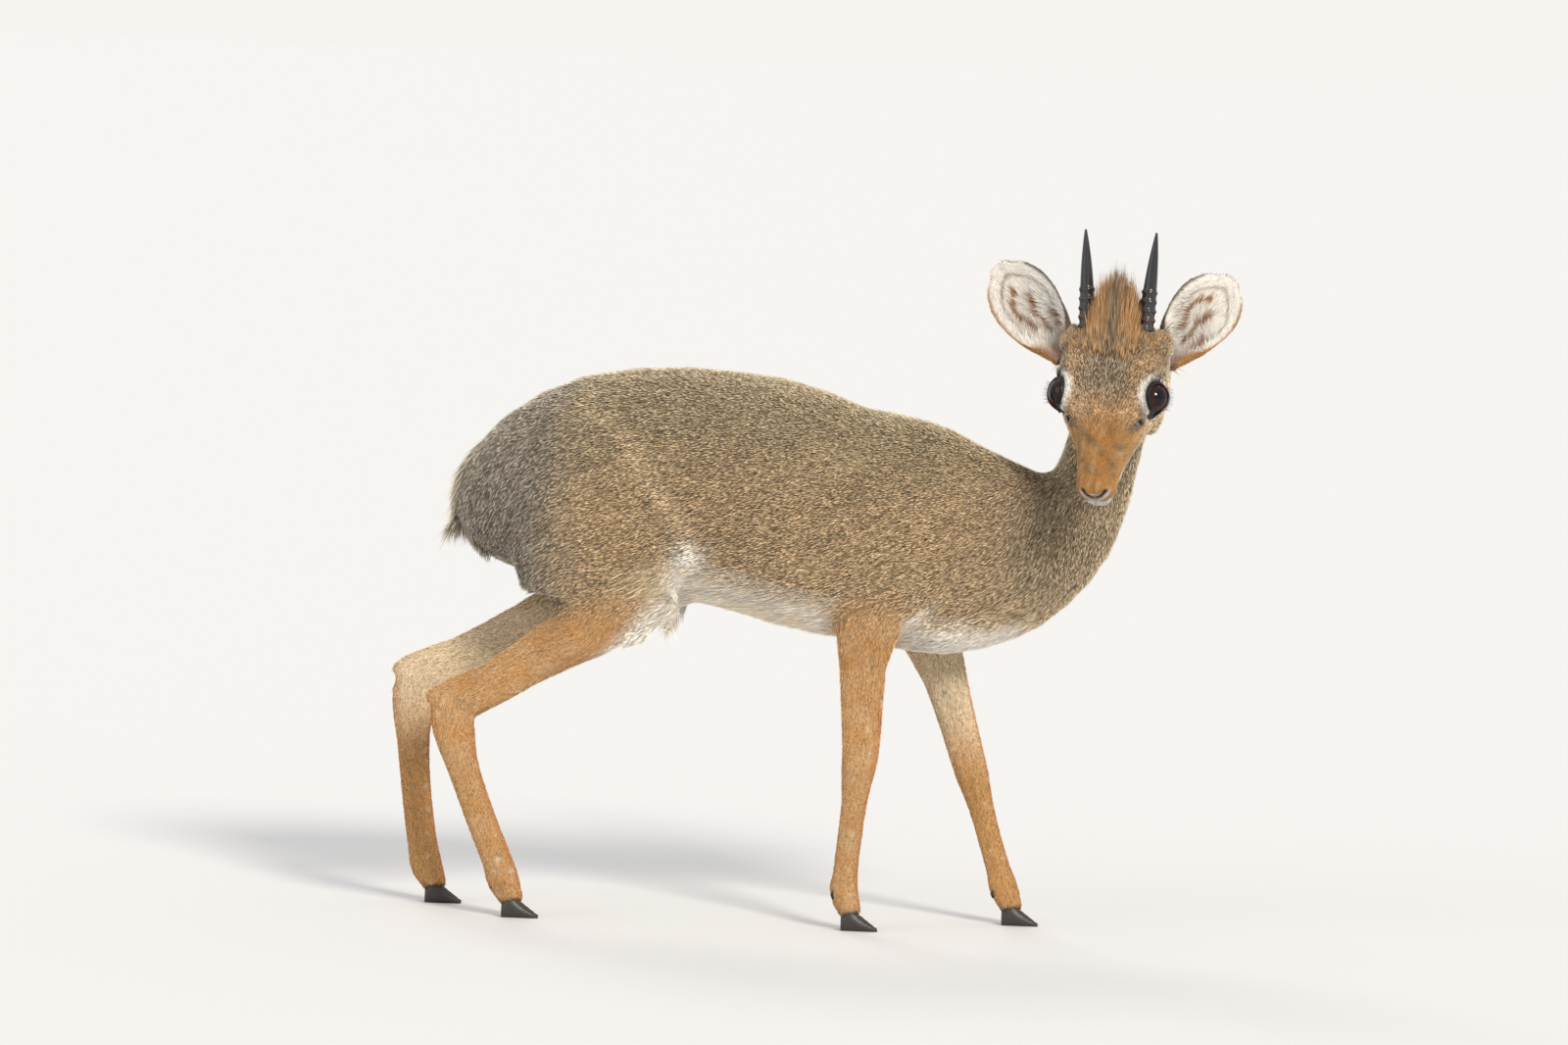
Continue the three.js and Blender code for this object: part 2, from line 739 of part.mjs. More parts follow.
function add(group, name, made, material) {
  const { vertProperties, triVerts, numProp } = largest(made).getMesh();
  const points = new Float32Array((vertProperties.length / numProp) * 3);
  for (let i = 0; i < points.length / 3; i++) {
    points.set(vertProperties.subarray(i * numProp, i * numProp + 3), i * 3);
  }
  const geometry = new THREE.BufferGeometry();
  geometry.setAttribute("position", new THREE.BufferAttribute(points, 3));
  geometry.setIndex(new THREE.BufferAttribute(new Uint32Array(triVerts), 1));
  geometry.computeVertexNormals();
  const mesh = new THREE.Mesh(geometry, material);
  mesh.name = name;
  group.add(mesh);
}

// Legs and claws
for (const name of Object.keys(LEGS)) {
  const claws = [claw(name, true, GAP), claw(name, false, GAP)];
  const whole = join([leg(name)]).subtract(join(claws)).trimByPlane([0, 0, 1], 3);
  const { cut } = LEGS[name];
  add(parts, `${name}_leg_upper`, whole.trimByPlane([0, 0, 1], cut + GAP / 2), COAT_TAN);
  add(parts, `${name}_leg_lower`, whole.trimByPlane([0, 0, -1], -(cut - GAP / 2)), COAT_TAN);
  add(parts, `${name}_claw_inner`, claw(name, true), HOOF);
  add(parts, `${name}_claw_outer`, claw(name, false), HOOF);
}

// Head, and what grows from it
const placed = (made) => made.transform(headGroup.matrix.elements);
const cuts = [mouthLine()];
const horns = [];
for (const side of Object.values(SIDES)) {
  const { x, y, z } = EYE_PLACE;
  const socket = EYE_RADIUS + GAP;
  cuts.push(ball([socket, socket, socket], [x, side * y, z], 16), lidOpening(side), nostril(side));
  cuts.push(ball([4.2, 3, 1.7], [15, side * 26.5, -8.5], 10)); // scent gland before the eye
  horns.push(horn(side, GAP));
}
const skull = headBlank().subtract(join(cuts));
const crest = crestLocks().map((made) => largest(made.subtract(join(horns))));
add(headGroup, "head", join([skull, ...crest]).subtract(join(horns)), COAT_FACE);
const hairyHead = join([headBlank(GAP), ...crest]);
for (const [word, side] of Object.entries(SIDES)) {
  const { x, y, z } = EYE_PLACE;
  add(headGroup, `eye_${word}`, ball([EYE_RADIUS, EYE_RADIUS, EYE_RADIUS], [x, side * y, z], 16), EYE);
  add(headGroup, `horn_${word}`, horn(side).subtract(headBlank(GAP)), HORN);
  add(headGroup, `ear_${word}`, ear(word).subtract(hairyHead), COAT_WHITE);
}

// Tail, trunk and neck
const tailWhole = join([tail(), ...tailLocks()]);
const legsGrown = join(Object.keys(LEGS).map((name) => leg(name, GAP)));
const nape = [ball([28, 27, 46], [254, -14, 380], 14), ball([26, 24, 30], [254, -30, 402], 12)];
const masses = [shoulder(RIGHT), shoulder(LEFT), haunch(RIGHT, 0), haunch(LEFT, 8), ...nape];
const groinHair = sheathLocks();
const body = join([trunk(), ...masses, sheath(), ...groinHair])
  .subtract(legsGrown)
  .subtract(tail(GAP))
  .subtract(placed(headBlank(GAP)));
const [nx, nz] = NECK_CUT.normal;
const away = NECK_CUT.at[0] * nx + NECK_CUT.at[1] * HEIGHT_SCALE * nz;
const size = Math.hypot(nx, nz);
const torso = body.trimByPlane([-nx, 0, -nz], -(away - GAP / 2) / size);
const neck = body.trimByPlane([nx, 0, nz], (away + GAP / 2) / size);
add(parts, "torso", torso, COAT_GREY);
add(parts, "neck", neck, COAT_GREY);
add(parts, "tail", tailWhole.subtract(torso.translate([-GAP, 0, 0])).subtract(torso), COAT_GREY);

export default parts;
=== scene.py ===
# %% [markdown]
# # A dik-dik, life size
# A dik-dik is a very small African antelope, about knee-high at the shoulder.
# This lesson dresses a plain measured model of one: a single skin over the flesh, a coat of many thousand
# small tufts that lie the way the hair lies, and eyes, ears, horns, claws and lashes as pieces of their
# own.
#
# Everything is in metres, X points to the front of the body, Z up, and the animal looks to its right,
# towards -Y.

import bmesh
import bpy
import json
import math
import numpy as np
from mathutils import Matrix, Vector, noise

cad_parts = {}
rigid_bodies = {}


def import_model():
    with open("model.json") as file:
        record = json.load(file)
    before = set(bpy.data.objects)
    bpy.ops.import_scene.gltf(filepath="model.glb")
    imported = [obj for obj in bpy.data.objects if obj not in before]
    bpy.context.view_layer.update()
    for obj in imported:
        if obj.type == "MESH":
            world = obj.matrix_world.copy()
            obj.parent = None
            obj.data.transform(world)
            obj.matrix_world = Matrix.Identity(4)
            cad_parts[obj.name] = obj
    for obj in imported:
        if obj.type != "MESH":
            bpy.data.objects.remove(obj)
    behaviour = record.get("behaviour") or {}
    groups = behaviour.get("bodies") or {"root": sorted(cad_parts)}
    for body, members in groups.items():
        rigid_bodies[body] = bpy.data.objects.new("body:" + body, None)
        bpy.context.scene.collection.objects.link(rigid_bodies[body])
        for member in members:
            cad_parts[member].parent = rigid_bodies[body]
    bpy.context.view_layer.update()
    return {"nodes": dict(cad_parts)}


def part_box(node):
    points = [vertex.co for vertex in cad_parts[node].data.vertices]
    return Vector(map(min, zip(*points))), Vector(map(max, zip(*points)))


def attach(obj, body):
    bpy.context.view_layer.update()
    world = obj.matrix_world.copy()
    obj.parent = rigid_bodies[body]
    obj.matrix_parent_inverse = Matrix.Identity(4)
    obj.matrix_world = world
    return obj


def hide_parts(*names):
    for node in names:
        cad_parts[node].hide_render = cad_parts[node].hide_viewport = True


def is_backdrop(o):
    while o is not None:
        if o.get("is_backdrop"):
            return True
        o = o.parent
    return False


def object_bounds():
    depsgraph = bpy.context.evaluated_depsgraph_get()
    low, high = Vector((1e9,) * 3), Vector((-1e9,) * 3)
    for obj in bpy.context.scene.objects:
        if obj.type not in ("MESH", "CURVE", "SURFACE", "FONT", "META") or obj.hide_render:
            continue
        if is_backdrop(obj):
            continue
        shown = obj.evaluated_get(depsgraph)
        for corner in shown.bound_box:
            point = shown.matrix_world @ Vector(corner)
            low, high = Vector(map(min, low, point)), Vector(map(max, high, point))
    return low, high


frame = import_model()
MM = 0.001
BODY = "root"

# %% [markdown]
# ## Places on the body
# The shapes below are written in the millimetres of the animal's own drawing, where X = 0 is under the
# loin and Y = 0 is the middle of the body. One constant moves them to the frame, whose origin is the
# middle of the box. The head has axes of its own that start between the eyes, because everything on it is
# easiest to say that way.

# %% Drawing to frame
DRAWING_MIDDLE = np.array([47.36, -17.78, 0.0])
HEAD_TURN, HEAD_NOD, HEAD_TILT = -103.5, 52.0, 0.2
EYE_LINE = np.array([250.9, -70.0, 387.0])
EYE_RADIUS = 12.0
EYE_PLACE = np.array([-2.0, 30.5, 0.0])

tilted = Matrix.Rotation(math.radians(HEAD_TILT), 3, "Y")
turned = Matrix.Rotation(math.radians(HEAD_TURN), 3, "Z")
nodding = Matrix.Rotation(math.radians(HEAD_NOD), 3, "Y")
HEAD = np.array(tilted @ turned @ nodding)
print("the head turns", HEAD_TURN, "degrees and nods", HEAD_NOD)


def to_frame(points):
    """Drawing millimetres to the frame's metres."""
    return (np.asarray(points, float) - DRAWING_MIDDLE) * MM


def head_to_drawing(points):
    return np.asarray(points, float) @ HEAD.T + EYE_LINE


def to_drawing(points):
    return np.asarray(points, float) / MM + DRAWING_MIDDLE


def drawing_to_head(points):
    return (np.asarray(points, float) - EYE_LINE) @ HEAD


def smooth(low, high, x):
    """0 below low, 1 above high, and an even ramp between."""
    t = np.clip((x - low) / (high - low), 0, 1)
    return t * t * (3 - 2 * t)


def bump(distance, radius):
    return np.exp(-((distance / radius) ** 2))


def unit(vectors):
    return vectors / np.maximum(np.linalg.norm(vectors, axis=-1, keepdims=True), 1e-12)


def combed(ways, normal, share=1.0):
    """Directions laid flat on the surface, or only by a share of what stands off it."""
    return unit(ways - normal * np.sum(ways * normal, 1, keepdims=True) * share)


def curve_point(f, before, a, b, after):
    """A smooth curve from a to b, f from 0 to 1, that also heeds their neighbours."""
    bend = 3 * (a - b) + after - before
    return a + 0.5 * f * (b - before + f * (2 * before - 5 * a + 4 * b - after + f * bend))


def along(rows, t):
    """A point of the smooth curve through rows of numbers, t from 0 to 1."""
    rows = np.asarray(rows, float)
    place = np.clip(t, 0, 1) * (len(rows) - 1)
    i = min(int(place), len(rows) - 2)
    last = len(rows) - 1
    return curve_point(place - i, rows[max(i - 1, 0)], rows[i], rows[i + 1], rows[min(i + 2, last)])


def distance_to_piece(points, a, b):
    """Distance of each point from the straight piece between a and b."""
    t = np.clip(((points - a) @ (b - a)) / ((b - a) @ (b - a)), 0, 1)
    return np.linalg.norm(points - (a + t[:, None] * (b - a)), axis=1)


def distance_to_line(points, line):
    """Distance of each point from a line of several pieces."""
    best = np.full(len(points), 1e9)
    line = np.array(line, float)
    for a, b in zip(line[:-1], line[1:]):
        best = np.minimum(best, distance_to_piece(points, a, b))
    return best


# %% [markdown]
# ## The camera
# The camera stands where the photograph was taken from: at a low standing height, six metres away, with a
# long lens. It looks down by four degrees, rolls by 2.3, and sees 1.12 m across at the animal. It is
# placed by the pixel of the photograph where the drawing's origin lies, so that the render can be laid
# over the photograph.

# %% Camera
PHOTO = (1600, 1066)
MM_PER_PIXEL = 0.70
PIXEL_OF_ORIGIN = (745, 938)
CAMERA_DISTANCE = 6.0
SENSOR = 36.0
ELEVATION, ROLL = math.radians(4.0), math.radians(2.3)

forward = Vector((0, math.cos(ELEVATION), -math.sin(ELEVATION)))
level_up = Vector((0, math.sin(ELEVATION), math.cos(ELEVATION)))
level_right = Vector((1, 0, 0))
right = level_right * math.cos(ROLL) + level_up * math.sin(ROLL)
up = -level_right * math.sin(ROLL) + level_up * math.cos(ROLL)
across = (PHOTO[0] / 2 - PIXEL_OF_ORIGIN[0]) * MM_PER_PIXEL * MM
rise = (PIXEL_OF_ORIGIN[1] - PHOTO[1] / 2) * MM_PER_PIXEL * MM
aim = right * across + up * rise - Vector(DRAWING_MIDDLE * MM)

camera_data = bpy.data.cameras.new("photo_camera")
camera_data.sensor_width = SENSOR
camera_data.lens = SENSOR * CAMERA_DISTANCE / (PHOTO[0] * MM_PER_PIXEL * MM)
camera_data.clip_end = 60.0
camera = bpy.data.objects.new("photo_camera", camera_data)
bpy.context.scene.collection.objects.link(camera)
axes = Matrix((right, up, -forward)).transposed().to_4x4()
camera.matrix_world = Matrix.Translation(aim - forward * CAMERA_DISTANCE) @ axes
bpy.context.scene.camera = camera
print(f"camera lens {camera_data.lens:.0f} mm")

# %% [markdown]
# ## Making meshes
# Most forms of a body are lofts: ovals that follow a line and change size on the way. One helper turns
# rings of points into a closed mesh, and another gives an oval ring. A body's skin is then one surface
# around all its forms, which the voxel remesher finds, and a little smoothing melts the creases between
# the forms.

# %% Mesh helpers
def mesh_object(name, points, faces, smooth_shade=True):
    """A new object whose mesh has these points, in the frame's metres."""
    mesh = bpy.data.meshes.new(name)
    mesh.from_pydata([tuple(p) for p in points], [], [tuple(f) for f in faces])
    mesh.validate()
    if smooth_shade:
        mesh.polygons.foreach_set("use_smooth", [True] * len(mesh.polygons))
    mesh.update()
    made = bpy.data.objects.new(name, mesh)
    bpy.context.scene.collection.objects.link(made)
    return made


def ring_band(a, b, around):
    """The squares between the ring that starts at point a and the one that starts at point b."""
    k = np.arange(around)
    n = (k + 1) % around
    return np.stack([a + k, a + n, b + n, b + k], 1).tolist()


def loft_parts(rings):
    """Points and faces of a closed surface through rings, each counter-clockwise seen from the next."""
    rings = np.asarray(rings, float)
    count, around = rings.shape[:2]
    points = np.concatenate([rings.reshape(-1, 3), rings[:1].mean(1), rings[-1:].mean(1)])
    first, last = count * around, count * around + 1
    faces = []
    for r in range(count - 1):
        faces += ring_band(r * around, (r + 1) * around, around)
    k = np.arange(around)
    n = (k + 1) % around
    end = (count - 1) * around
    faces += np.stack([n, k, np.full(around, first)], 1).tolist()
    faces += np.stack([end + k, end + n, np.full(around, last)], 1).tolist()
    return points, faces


def oval(centre, side_axis, up_axis, side, up, down, around=40, fullness=1.0):
    angle = np.linspace(0, 2 * math.pi, around, endpoint=False)
    c, s = np.cos(angle), np.sin(angle)
    c = np.sign(c) * np.abs(c) ** (1 / fullness)
    s = np.sign(s) * np.abs(s) ** (1 / fullness)
    height = s * np.where(s > 0, up, down)
    return np.asarray(centre) + np.outer(c * side, side_axis) + np.outer(height, up_axis)


def join_parts(parts):
    points, faces, base = [], [], 0
    for p, f in parts:
        points.append(np.asarray(p))
        faces += [[i + base for i in face] for face in f]
        base += len(p)
    return np.concatenate(points), faces


def ball_parts(radii, centre, across=24):
    rings = []
    for r in range(1, across // 2):
        angle = math.pi * r / (across // 2)
        place = np.asarray(centre, float) + np.array([0, 0, -math.cos(angle) * radii[2]])
        wide = math.sin(angle)
        side, up = radii[0] * wide, radii[1] * wide
        rings.append(oval(place, (1, 0, 0), (0, 1, 0), side, up, up, across))
    return loft_parts(rings)


def plain_copy(thing, name):
    """A new object with the mesh that a thing's modifiers make."""
    evaluated = thing.evaluated_get(bpy.context.evaluated_depsgraph_get())
    mesh = bpy.data.meshes.new_from_object(evaluated)
    mesh.name = name
    made = bpy.data.objects.new(name, mesh)
    bpy.context.scene.collection.objects.link(made)
    return made


def voxel_skin(name, parts, voxel):
    """One closed surface around all the parts, made of squares of the voxel's size."""
    rough = mesh_object(name + "_rough", *join_parts(parts))
    remesh = rough.modifiers.new("one_skin", "REMESH")
    remesh.mode = "VOXEL"
    remesh.voxel_size = voxel
    remesh.use_smooth_shade = True
    made = plain_copy(rough, name)
    bpy.data.objects.remove(rough)
    return made


def points_of(thing):
    found = np.empty(len(thing.data.vertices) * 3)
    thing.data.vertices.foreach_get("co", found)
    return found.reshape(-1, 3)


def normals_of(thing):
    found = np.empty(len(thing.data.vertices) * 3)
    thing.data.vertex_normals.foreach_get("vector", found)
    return found.reshape(-1, 3)


def body_places(thing):
    """A thing's points in the drawing's millimetres."""
    return to_drawing(points_of(thing))


def head_places(thing):
    """A thing's points in the head's own millimetres."""
    return drawing_to_head(body_places(thing))


def move_points(thing, points):
    thing.data.vertices.foreach_set("co", np.ascontiguousarray(points, dtype=float).ravel())
    thing.data.update()


def relax(thing, rounds, strength, keep_volume=True):
    """Evens out the surface. strength is a number, or one for each point."""
    edges = np.empty(len(thing.data.edges) * 2, dtype=np.int64)
    thing.data.edges.foreach_get("vertices", edges)
    a, b = edges.reshape(-1, 2).T
    points = points_of(thing)
    total = len(points)
    neighbours = np.bincount(a, minlength=total) + np.bincount(b, minlength=total)
    neighbours = np.maximum(neighbours, 1)[:, None]
    strength = np.broadcast_to(np.asarray(strength, float), (total,))[:, None]

    def pull(places):
        sums = np.empty_like(places)
        for axis in range(3):
            sums[:, axis] = np.bincount(a, places[b, axis], total)
            sums[:, axis] += np.bincount(b, places[a, axis], total)
        return sums / neighbours - places

    for _ in range(rounds):
        points = points + strength * pull(points)
        if keep_volume:
            points = points - strength * 1.02 * pull(points)
    move_points(thing, points)


# %% [markdown]
# ## The head's form
# The skull and muzzle are one loft and the lower jaw another, with low balls for the brows, cheeks, horn
# pedicles and the roots of the ears. They are written in the head's own millimetres, nape first and nose
# last.

# %% Head forms
SKULL = [
    [-66, -4, 9, 8, 9], [-61, -4, 23, 17, 19], [-51, -5, 33, 23, 28], [-38, -6, 38.5, 29, 31],
    [-20, -7, 40, 31, 32], [-4, -8, 38, 29, 31], [10, -10, 32.5, 25.5, 28], [23, -12.5, 25.5, 21, 23],
    [36, -14.5, 19.4, 18.4, 18], [49, -16, 16.4, 17, 15], [60, -17.5, 15, 15.6, 12.5],
    [68, -19, 12.6, 12.6, 9.5], [73, -20, 7.5, 8, 6.5],
]
JAW = [
    [-44, -30, 17, 12, 12], [-32, -33, 26, 14, 14], [-14, -33, 28.5, 14, 15], [8, -31.5, 23.5, 12, 12.5],
    [28, -30, 17.5, 10, 10.5], [46, -31, 12.6, 8, 9], [58, -32, 10, 7, 8], [66, -32.5, 7, 5.5, 6.2],
]


def head_to_frame(points):
    return to_frame(head_to_drawing(points))


def head_object(name, parts, smooth_shade=True):
    """A new object from points in the head's millimetres and their faces."""
    points, faces = parts
    return mesh_object(name, head_to_frame(points), faces, smooth_shade)


def head_loft(rows, steps, around, inset=0.0):
    rings = []
    for step in range(steps + 1):
        x, z, half, high, low = along(rows, step / steps)
        half, high, low = (max(v - inset, 1.0) for v in (half, high, low))
        rings.append(oval((x, 0, z), (0, 1, 0), (0, 0, 1), half, high, low, around, 1.06))
    points, faces = loft_parts(rings)
    return head_to_frame(points), faces


def head_parts(inset=0.0):
    parts = [head_loft(SKULL, 70, 64, inset), head_loft(JAW, 50, 48, inset)]
    for side in (-1, 1):
        brow = ((18, 10, 15), (EYE_PLACE[0] - 1, side * 28.5, 1.5))
        cheek = ((23, 10, 18), (-12, side * 26.5, -23))
        ear_root = ((13, 10, 12), (-43, side * 31, 4))
        pedicle = ((8, 8, 7), (-45, side * 20.5, 12))
        balls = [brow, cheek, ear_root, pedicle]
        for radii, centre in balls:
            points, faces = ball_parts([r - inset for r in radii], centre, 32)
            parts.append((head_to_frame(points), faces))
    return parts


# %% [markdown]
# ## The skin of the body
# The trunk, neck, tail and legs of the measured model are parted with thin cuts. A copy of each is
# swollen by the width of a cut, so that the remesher closes the cuts and gives one skin from nape to
# hooves.

# %% Body skin
FLESH = ["torso", "neck", "tail"]
FLESH += [f"{leg}_leg_{part}" for leg in ("fore_right", "fore_left", "hind_right", "hind_left")
          for part in ("upper", "lower")]
CUT_WIDTH = 0.35 * MM
BODY_VOXEL = 2.3 * MM
HEAD_VOXEL = 1.0 * MM
NECK_INTO_HEAD = 3.0


def swollen_copy(node):
    """Points and faces of a node's closed mesh, moved out by the width of a cut."""
    mesh = frame["nodes"][node].data
    points = np.array([v.co for v in mesh.vertices])
    keys = np.round(points / 1e-6).astype(np.int64)
    _, first, same = np.unique(keys, axis=0, return_index=True, return_inverse=True)
    points = points[first]
    corner = same.ravel()[np.array([p.vertices[:] for p in mesh.polygons])]
    a, b, c = corner.T
    corner = corner[(a != b) & (b != c) & (a != c)]
    a, b, c = corner.T
    flat = np.cross(points[b] - points[a], points[c] - points[a])
    outward = np.zeros_like(points)
    for column in (a, b, c):
        np.add.at(outward, column, flat)
    return points + unit(outward) * CUT_WIDTH, corner.tolist()


flesh_parts = [swollen_copy(node) for node in FLESH] + head_parts(NECK_INTO_HEAD)
body_skin = voxel_skin("skin_body", flesh_parts, BODY_VOXEL)
print("body skin has", len(body_skin.data.polygons), "squares")

place = body_places(body_skin)
high_up = smooth(165, 235, place[:, 2])
hind_leg = (1 - smooth(-120, -60, place[:, 0])) * (1 - smooth(225, 262, place[:, 2]))
relax(body_skin, 60, 0.16 + 0.34 * high_up * (1 - hind_leg))
relax(body_skin, 14, 0.5 * high_up * (1 - hind_leg), keep_volume=False)

# %% Head skin
head_skin = voxel_skin("skin_head", head_parts(), HEAD_VOXEL)
relax(head_skin, 40, 0.5)
print("head skin has", len(head_skin.data.polygons), "squares")

# %% [markdown]
# ## Where the hair lies
# On the real animal the hair starts at the nose, runs back over the head and down the neck, back along
# the trunk and down each leg. Its length changes too: about two millimetres on the muzzle and the shins,
# six on the back and nine under the belly. Both are smooth functions of the place, so skin and coat can
# share them.

# %% Lie and length on the body
LEG_ASIDE = 36
LEG_SIDE_VIEW = {
    "fore_right": [(93, 240), (87, 190), (88, 130), (84, 86), (80, 27), (88, 6)],
    "fore_left": [(128, 230), (147, 178), (163, 127), (178, 80), (195, 27), (203, 6)],
    "hind_right": [(-62, 262), (-112, 203), (-200, 158), (-195, 110), (-162, 27), (-154, 6)],
    "hind_left": [(-84, 262), (-136, 205), (-230, 168), (-232, 118), (-220, 27), (-212, 6)],
}
LEG_LINES = {}
for leg, line in LEG_SIDE_VIEW.items():
    aside = LEG_ASIDE if "left" in leg else -LEG_ASIDE
    LEG_LINES[leg] = np.array([(x, aside, z) for x, z in line], float)
print("the legs are", len(LEG_LINES), "lines of", len(line), "joints and toes")


def leg_flow(place):
    """How much each point belongs to a leg, 0 to 1, and the way down that leg there."""
    best = np.full(len(place), 1e9)
    way = np.zeros_like(place)
    for line in LEG_LINES.values():
        for a, b in zip(line[:-1], line[1:]):
            distance = distance_to_piece(place, a, b)
            closer = distance < best
            best[closer] = distance[closer]
            way[closer] = unit(b - a)
    belongs = (1 - smooth(16, 34, best)) * (1 - smooth(205, 250, place[:, 2]))
    return belongs, way


def body_lie(place, normal):
    trunk = np.tile([-1.0, 0.0, -0.28], (len(place), 1))
    rump = smooth(-90, -190, place[:, 0])[:, None]
    trunk += rump * np.array([0.35, 0.0, -0.75])
    neck = smooth(150, 235, place[:, 0])[:, None] * smooth(205, 260, place[:, 2])[:, None]
    trunk = trunk * (1 - neck) + neck * np.array([-0.42, 0.0, -1.0])
    chest = (smooth(110, 170, place[:, 0]) * (1 - smooth(215, 260, place[:, 2])))[:, None]
    trunk = trunk * (1 - chest) + chest * np.array([-0.9, 0.0, -0.3])
    belongs, way = leg_flow(place)
    return combed(trunk * (1 - belongs[:, None]) + way * belongs[:, None], normal)


def shin_share(place):
    return 1 - smooth(105, 215, place[:, 2])


BACK_HAIR, BELLY_EXTRA, THIGH_HAIR, SHIN_HAIR = 5.8, 3.4, 4.6, 2.6


def body_length(place):
    """Millimetres of hair at each place."""
    belongs, _ = leg_flow(place)
    low_leg = shin_share(place)
    length = BACK_HAIR + BELLY_EXTRA * under_side(place)
    length = length * (1 - belongs) + belongs * THIGH_HAIR
    return length * (1 - low_leg) + low_leg * SHIN_HAIR


BELLY_LINE = np.array([
    (-60, 232), (-9, 223), (30, 211), (62, 207), (111, 199), (164, 197), (205, 211), (239, 234)])


def under_side(place):
    """1 on the belly, where the hair is long and pale, and 0 on the flanks and legs."""
    inside = smooth(-95, -50, place[:, 0]) * (1 - smooth(105, 135, place[:, 0]))
    belongs, _ = leg_flow(place)
    over_line = place[:, 2] - np.interp(place[:, 0], *BELLY_LINE.T)
    under = inside * (1 - smooth(4, 34, over_line)) * (1 - smooth(0.05, 0.35, belongs))
    return under * smooth(-20, -10, over_line)


# %% Lie and length on the head
def head_lie(spot, normal):
    """The lie in the head's own axes."""
    lie = np.tile([-1.0, 0.0, 0.0], (len(spot), 1))
    lie[:, 1] += 0.25 * np.sign(spot[:, 1]) * smooth(4, 20, np.abs(spot[:, 1]))
    lie[:, 2] -= 0.45 * smooth(-10, -30, spot[:, 2])
    crown = smooth(-22, -44, spot[:, 0]) * smooth(5, 16, spot[:, 2])
    lie[:, 2] += 0.9 * crown
    return combed(lie, normal)


CHEEK_HAIR, MUZZLE_HAIR, CROWN_EXTRA = 4.2, 2.0, 3.6


def head_length(spot):
    """Millimetres of hair at each place, least on the nose and at the lids."""
    muzzle = smooth(10, 40, spot[:, 0])
    crown = smooth(0, -26, spot[:, 0]) * smooth(0, 12, spot[:, 2])
    crown = crown * (1 - 0.85 * smooth(14, 26, np.abs(spot[:, 1])))
    length = CHEEK_HAIR * (1 - muzzle) + MUZZLE_HAIR * muzzle + CROWN_EXTRA * crown
    nose = smooth(60, 68, spot[:, 0])
    edge, _ = lid_distance(spot)
    return length * (1 - 0.6 * nose) * (0.45 + 0.55 * smooth(2, 9, edge))


def eye_distance(spot):
    flat = spot - EYE_PLACE
    return np.hypot(flat[:, 0], flat[:, 2]) + 400.0 * (np.abs(spot[:, 1]) < 17)


# %% [markdown]
# ## The markings
# Each mark is a soft mask: a ramp in height, a distance to a spot or to the belly line. The colours are
# named as a painter would name them, in the sRGB values of a colour picker, and mixed one over another.
# Three of the pale marks are painted highlights: a band on the upper flank, patches on the outer sides of
# the legs and a sheen on the muzzle.
# The coat is grizzled: single hairs are banded pale and dark, so next to its colour each place has a
# strength for that pepper and salt.

# %% Colours
def linear(*srgb):
    c = np.array(srgb, float) / 255
    return np.where(c <= 0.04045, c / 12.92, ((c + 0.055) / 1.055) ** 2.4)


GREY_BACK = linear(140, 120, 88)
RUMP_GREY = linear(108, 98, 88)
TAWNY = linear(162, 132, 92)
NECK_GREY = linear(140, 118, 86)
LEG_GOLD = linear(200, 148, 86)
RUST = linear(184, 106, 42)
CREAM = linear(222, 204, 172)
WHITE = linear(244, 238, 228)
# The pale tone of the painted highlights on the flank, the legs and the muzzle.
PAINTED_HIGHLIGHT = linear(206, 178, 140)
DARK = linear(54, 40, 30)
BLACK = linear(22, 18, 18)
FACE_ORANGE = linear(178, 124, 56)
FACE_BROWN = linear(112, 86, 54)
CHEEK = linear(150, 128, 94)
LIP = linear(214, 210, 206)
PALE_BAND = linear(214, 204, 180)
EAR_UPPER_EDGE = linear(92, 62, 38)
EAR_FOLD = linear(152, 104, 56)
EAR_RIM_LINE = linear(150, 128, 110)
EAR_DEPTH = linear(150, 96, 56)
IRIS_BROWN = linear(70, 26, 12)


def over(base, color, mask):
    return base * (1 - mask[:, None]) + color * mask[:, None]


def patchy(place, size, seed):
    """A slow random field, about -1 to 1, from a few crossed waves."""
    waves = np.random.default_rng(seed)
    total = np.zeros(len(place))
    for _ in range(7):
        way = unit(waves.normal(size=3))
        total += np.sin(place @ way / size * waves.uniform(0.6, 1.7) * 2 * math.pi + waves.uniform(0, 7))
    return total / 3.2


def from_the_side(place):
    """Places without their y, as the side view shows them."""
    return place * np.array([1, 0, 1])


def both_sides(spot):
    """Places of the head with its right side laid over its left."""
    return spot * np.array([1, 0, 1]) + np.abs(spot) * np.array([0, 1, 0])


def ball_mask(place, centre, radius):
    """1 at a centre, fading out over the radius."""
    return bump(np.linalg.norm(place - np.array(centre), axis=1), radius)


FLANK_FOLD = [(-38, 0, 262), (-46, 0, 232), (-78, 0, 199), (-117, 0, 168), (-158, 0, 142)]


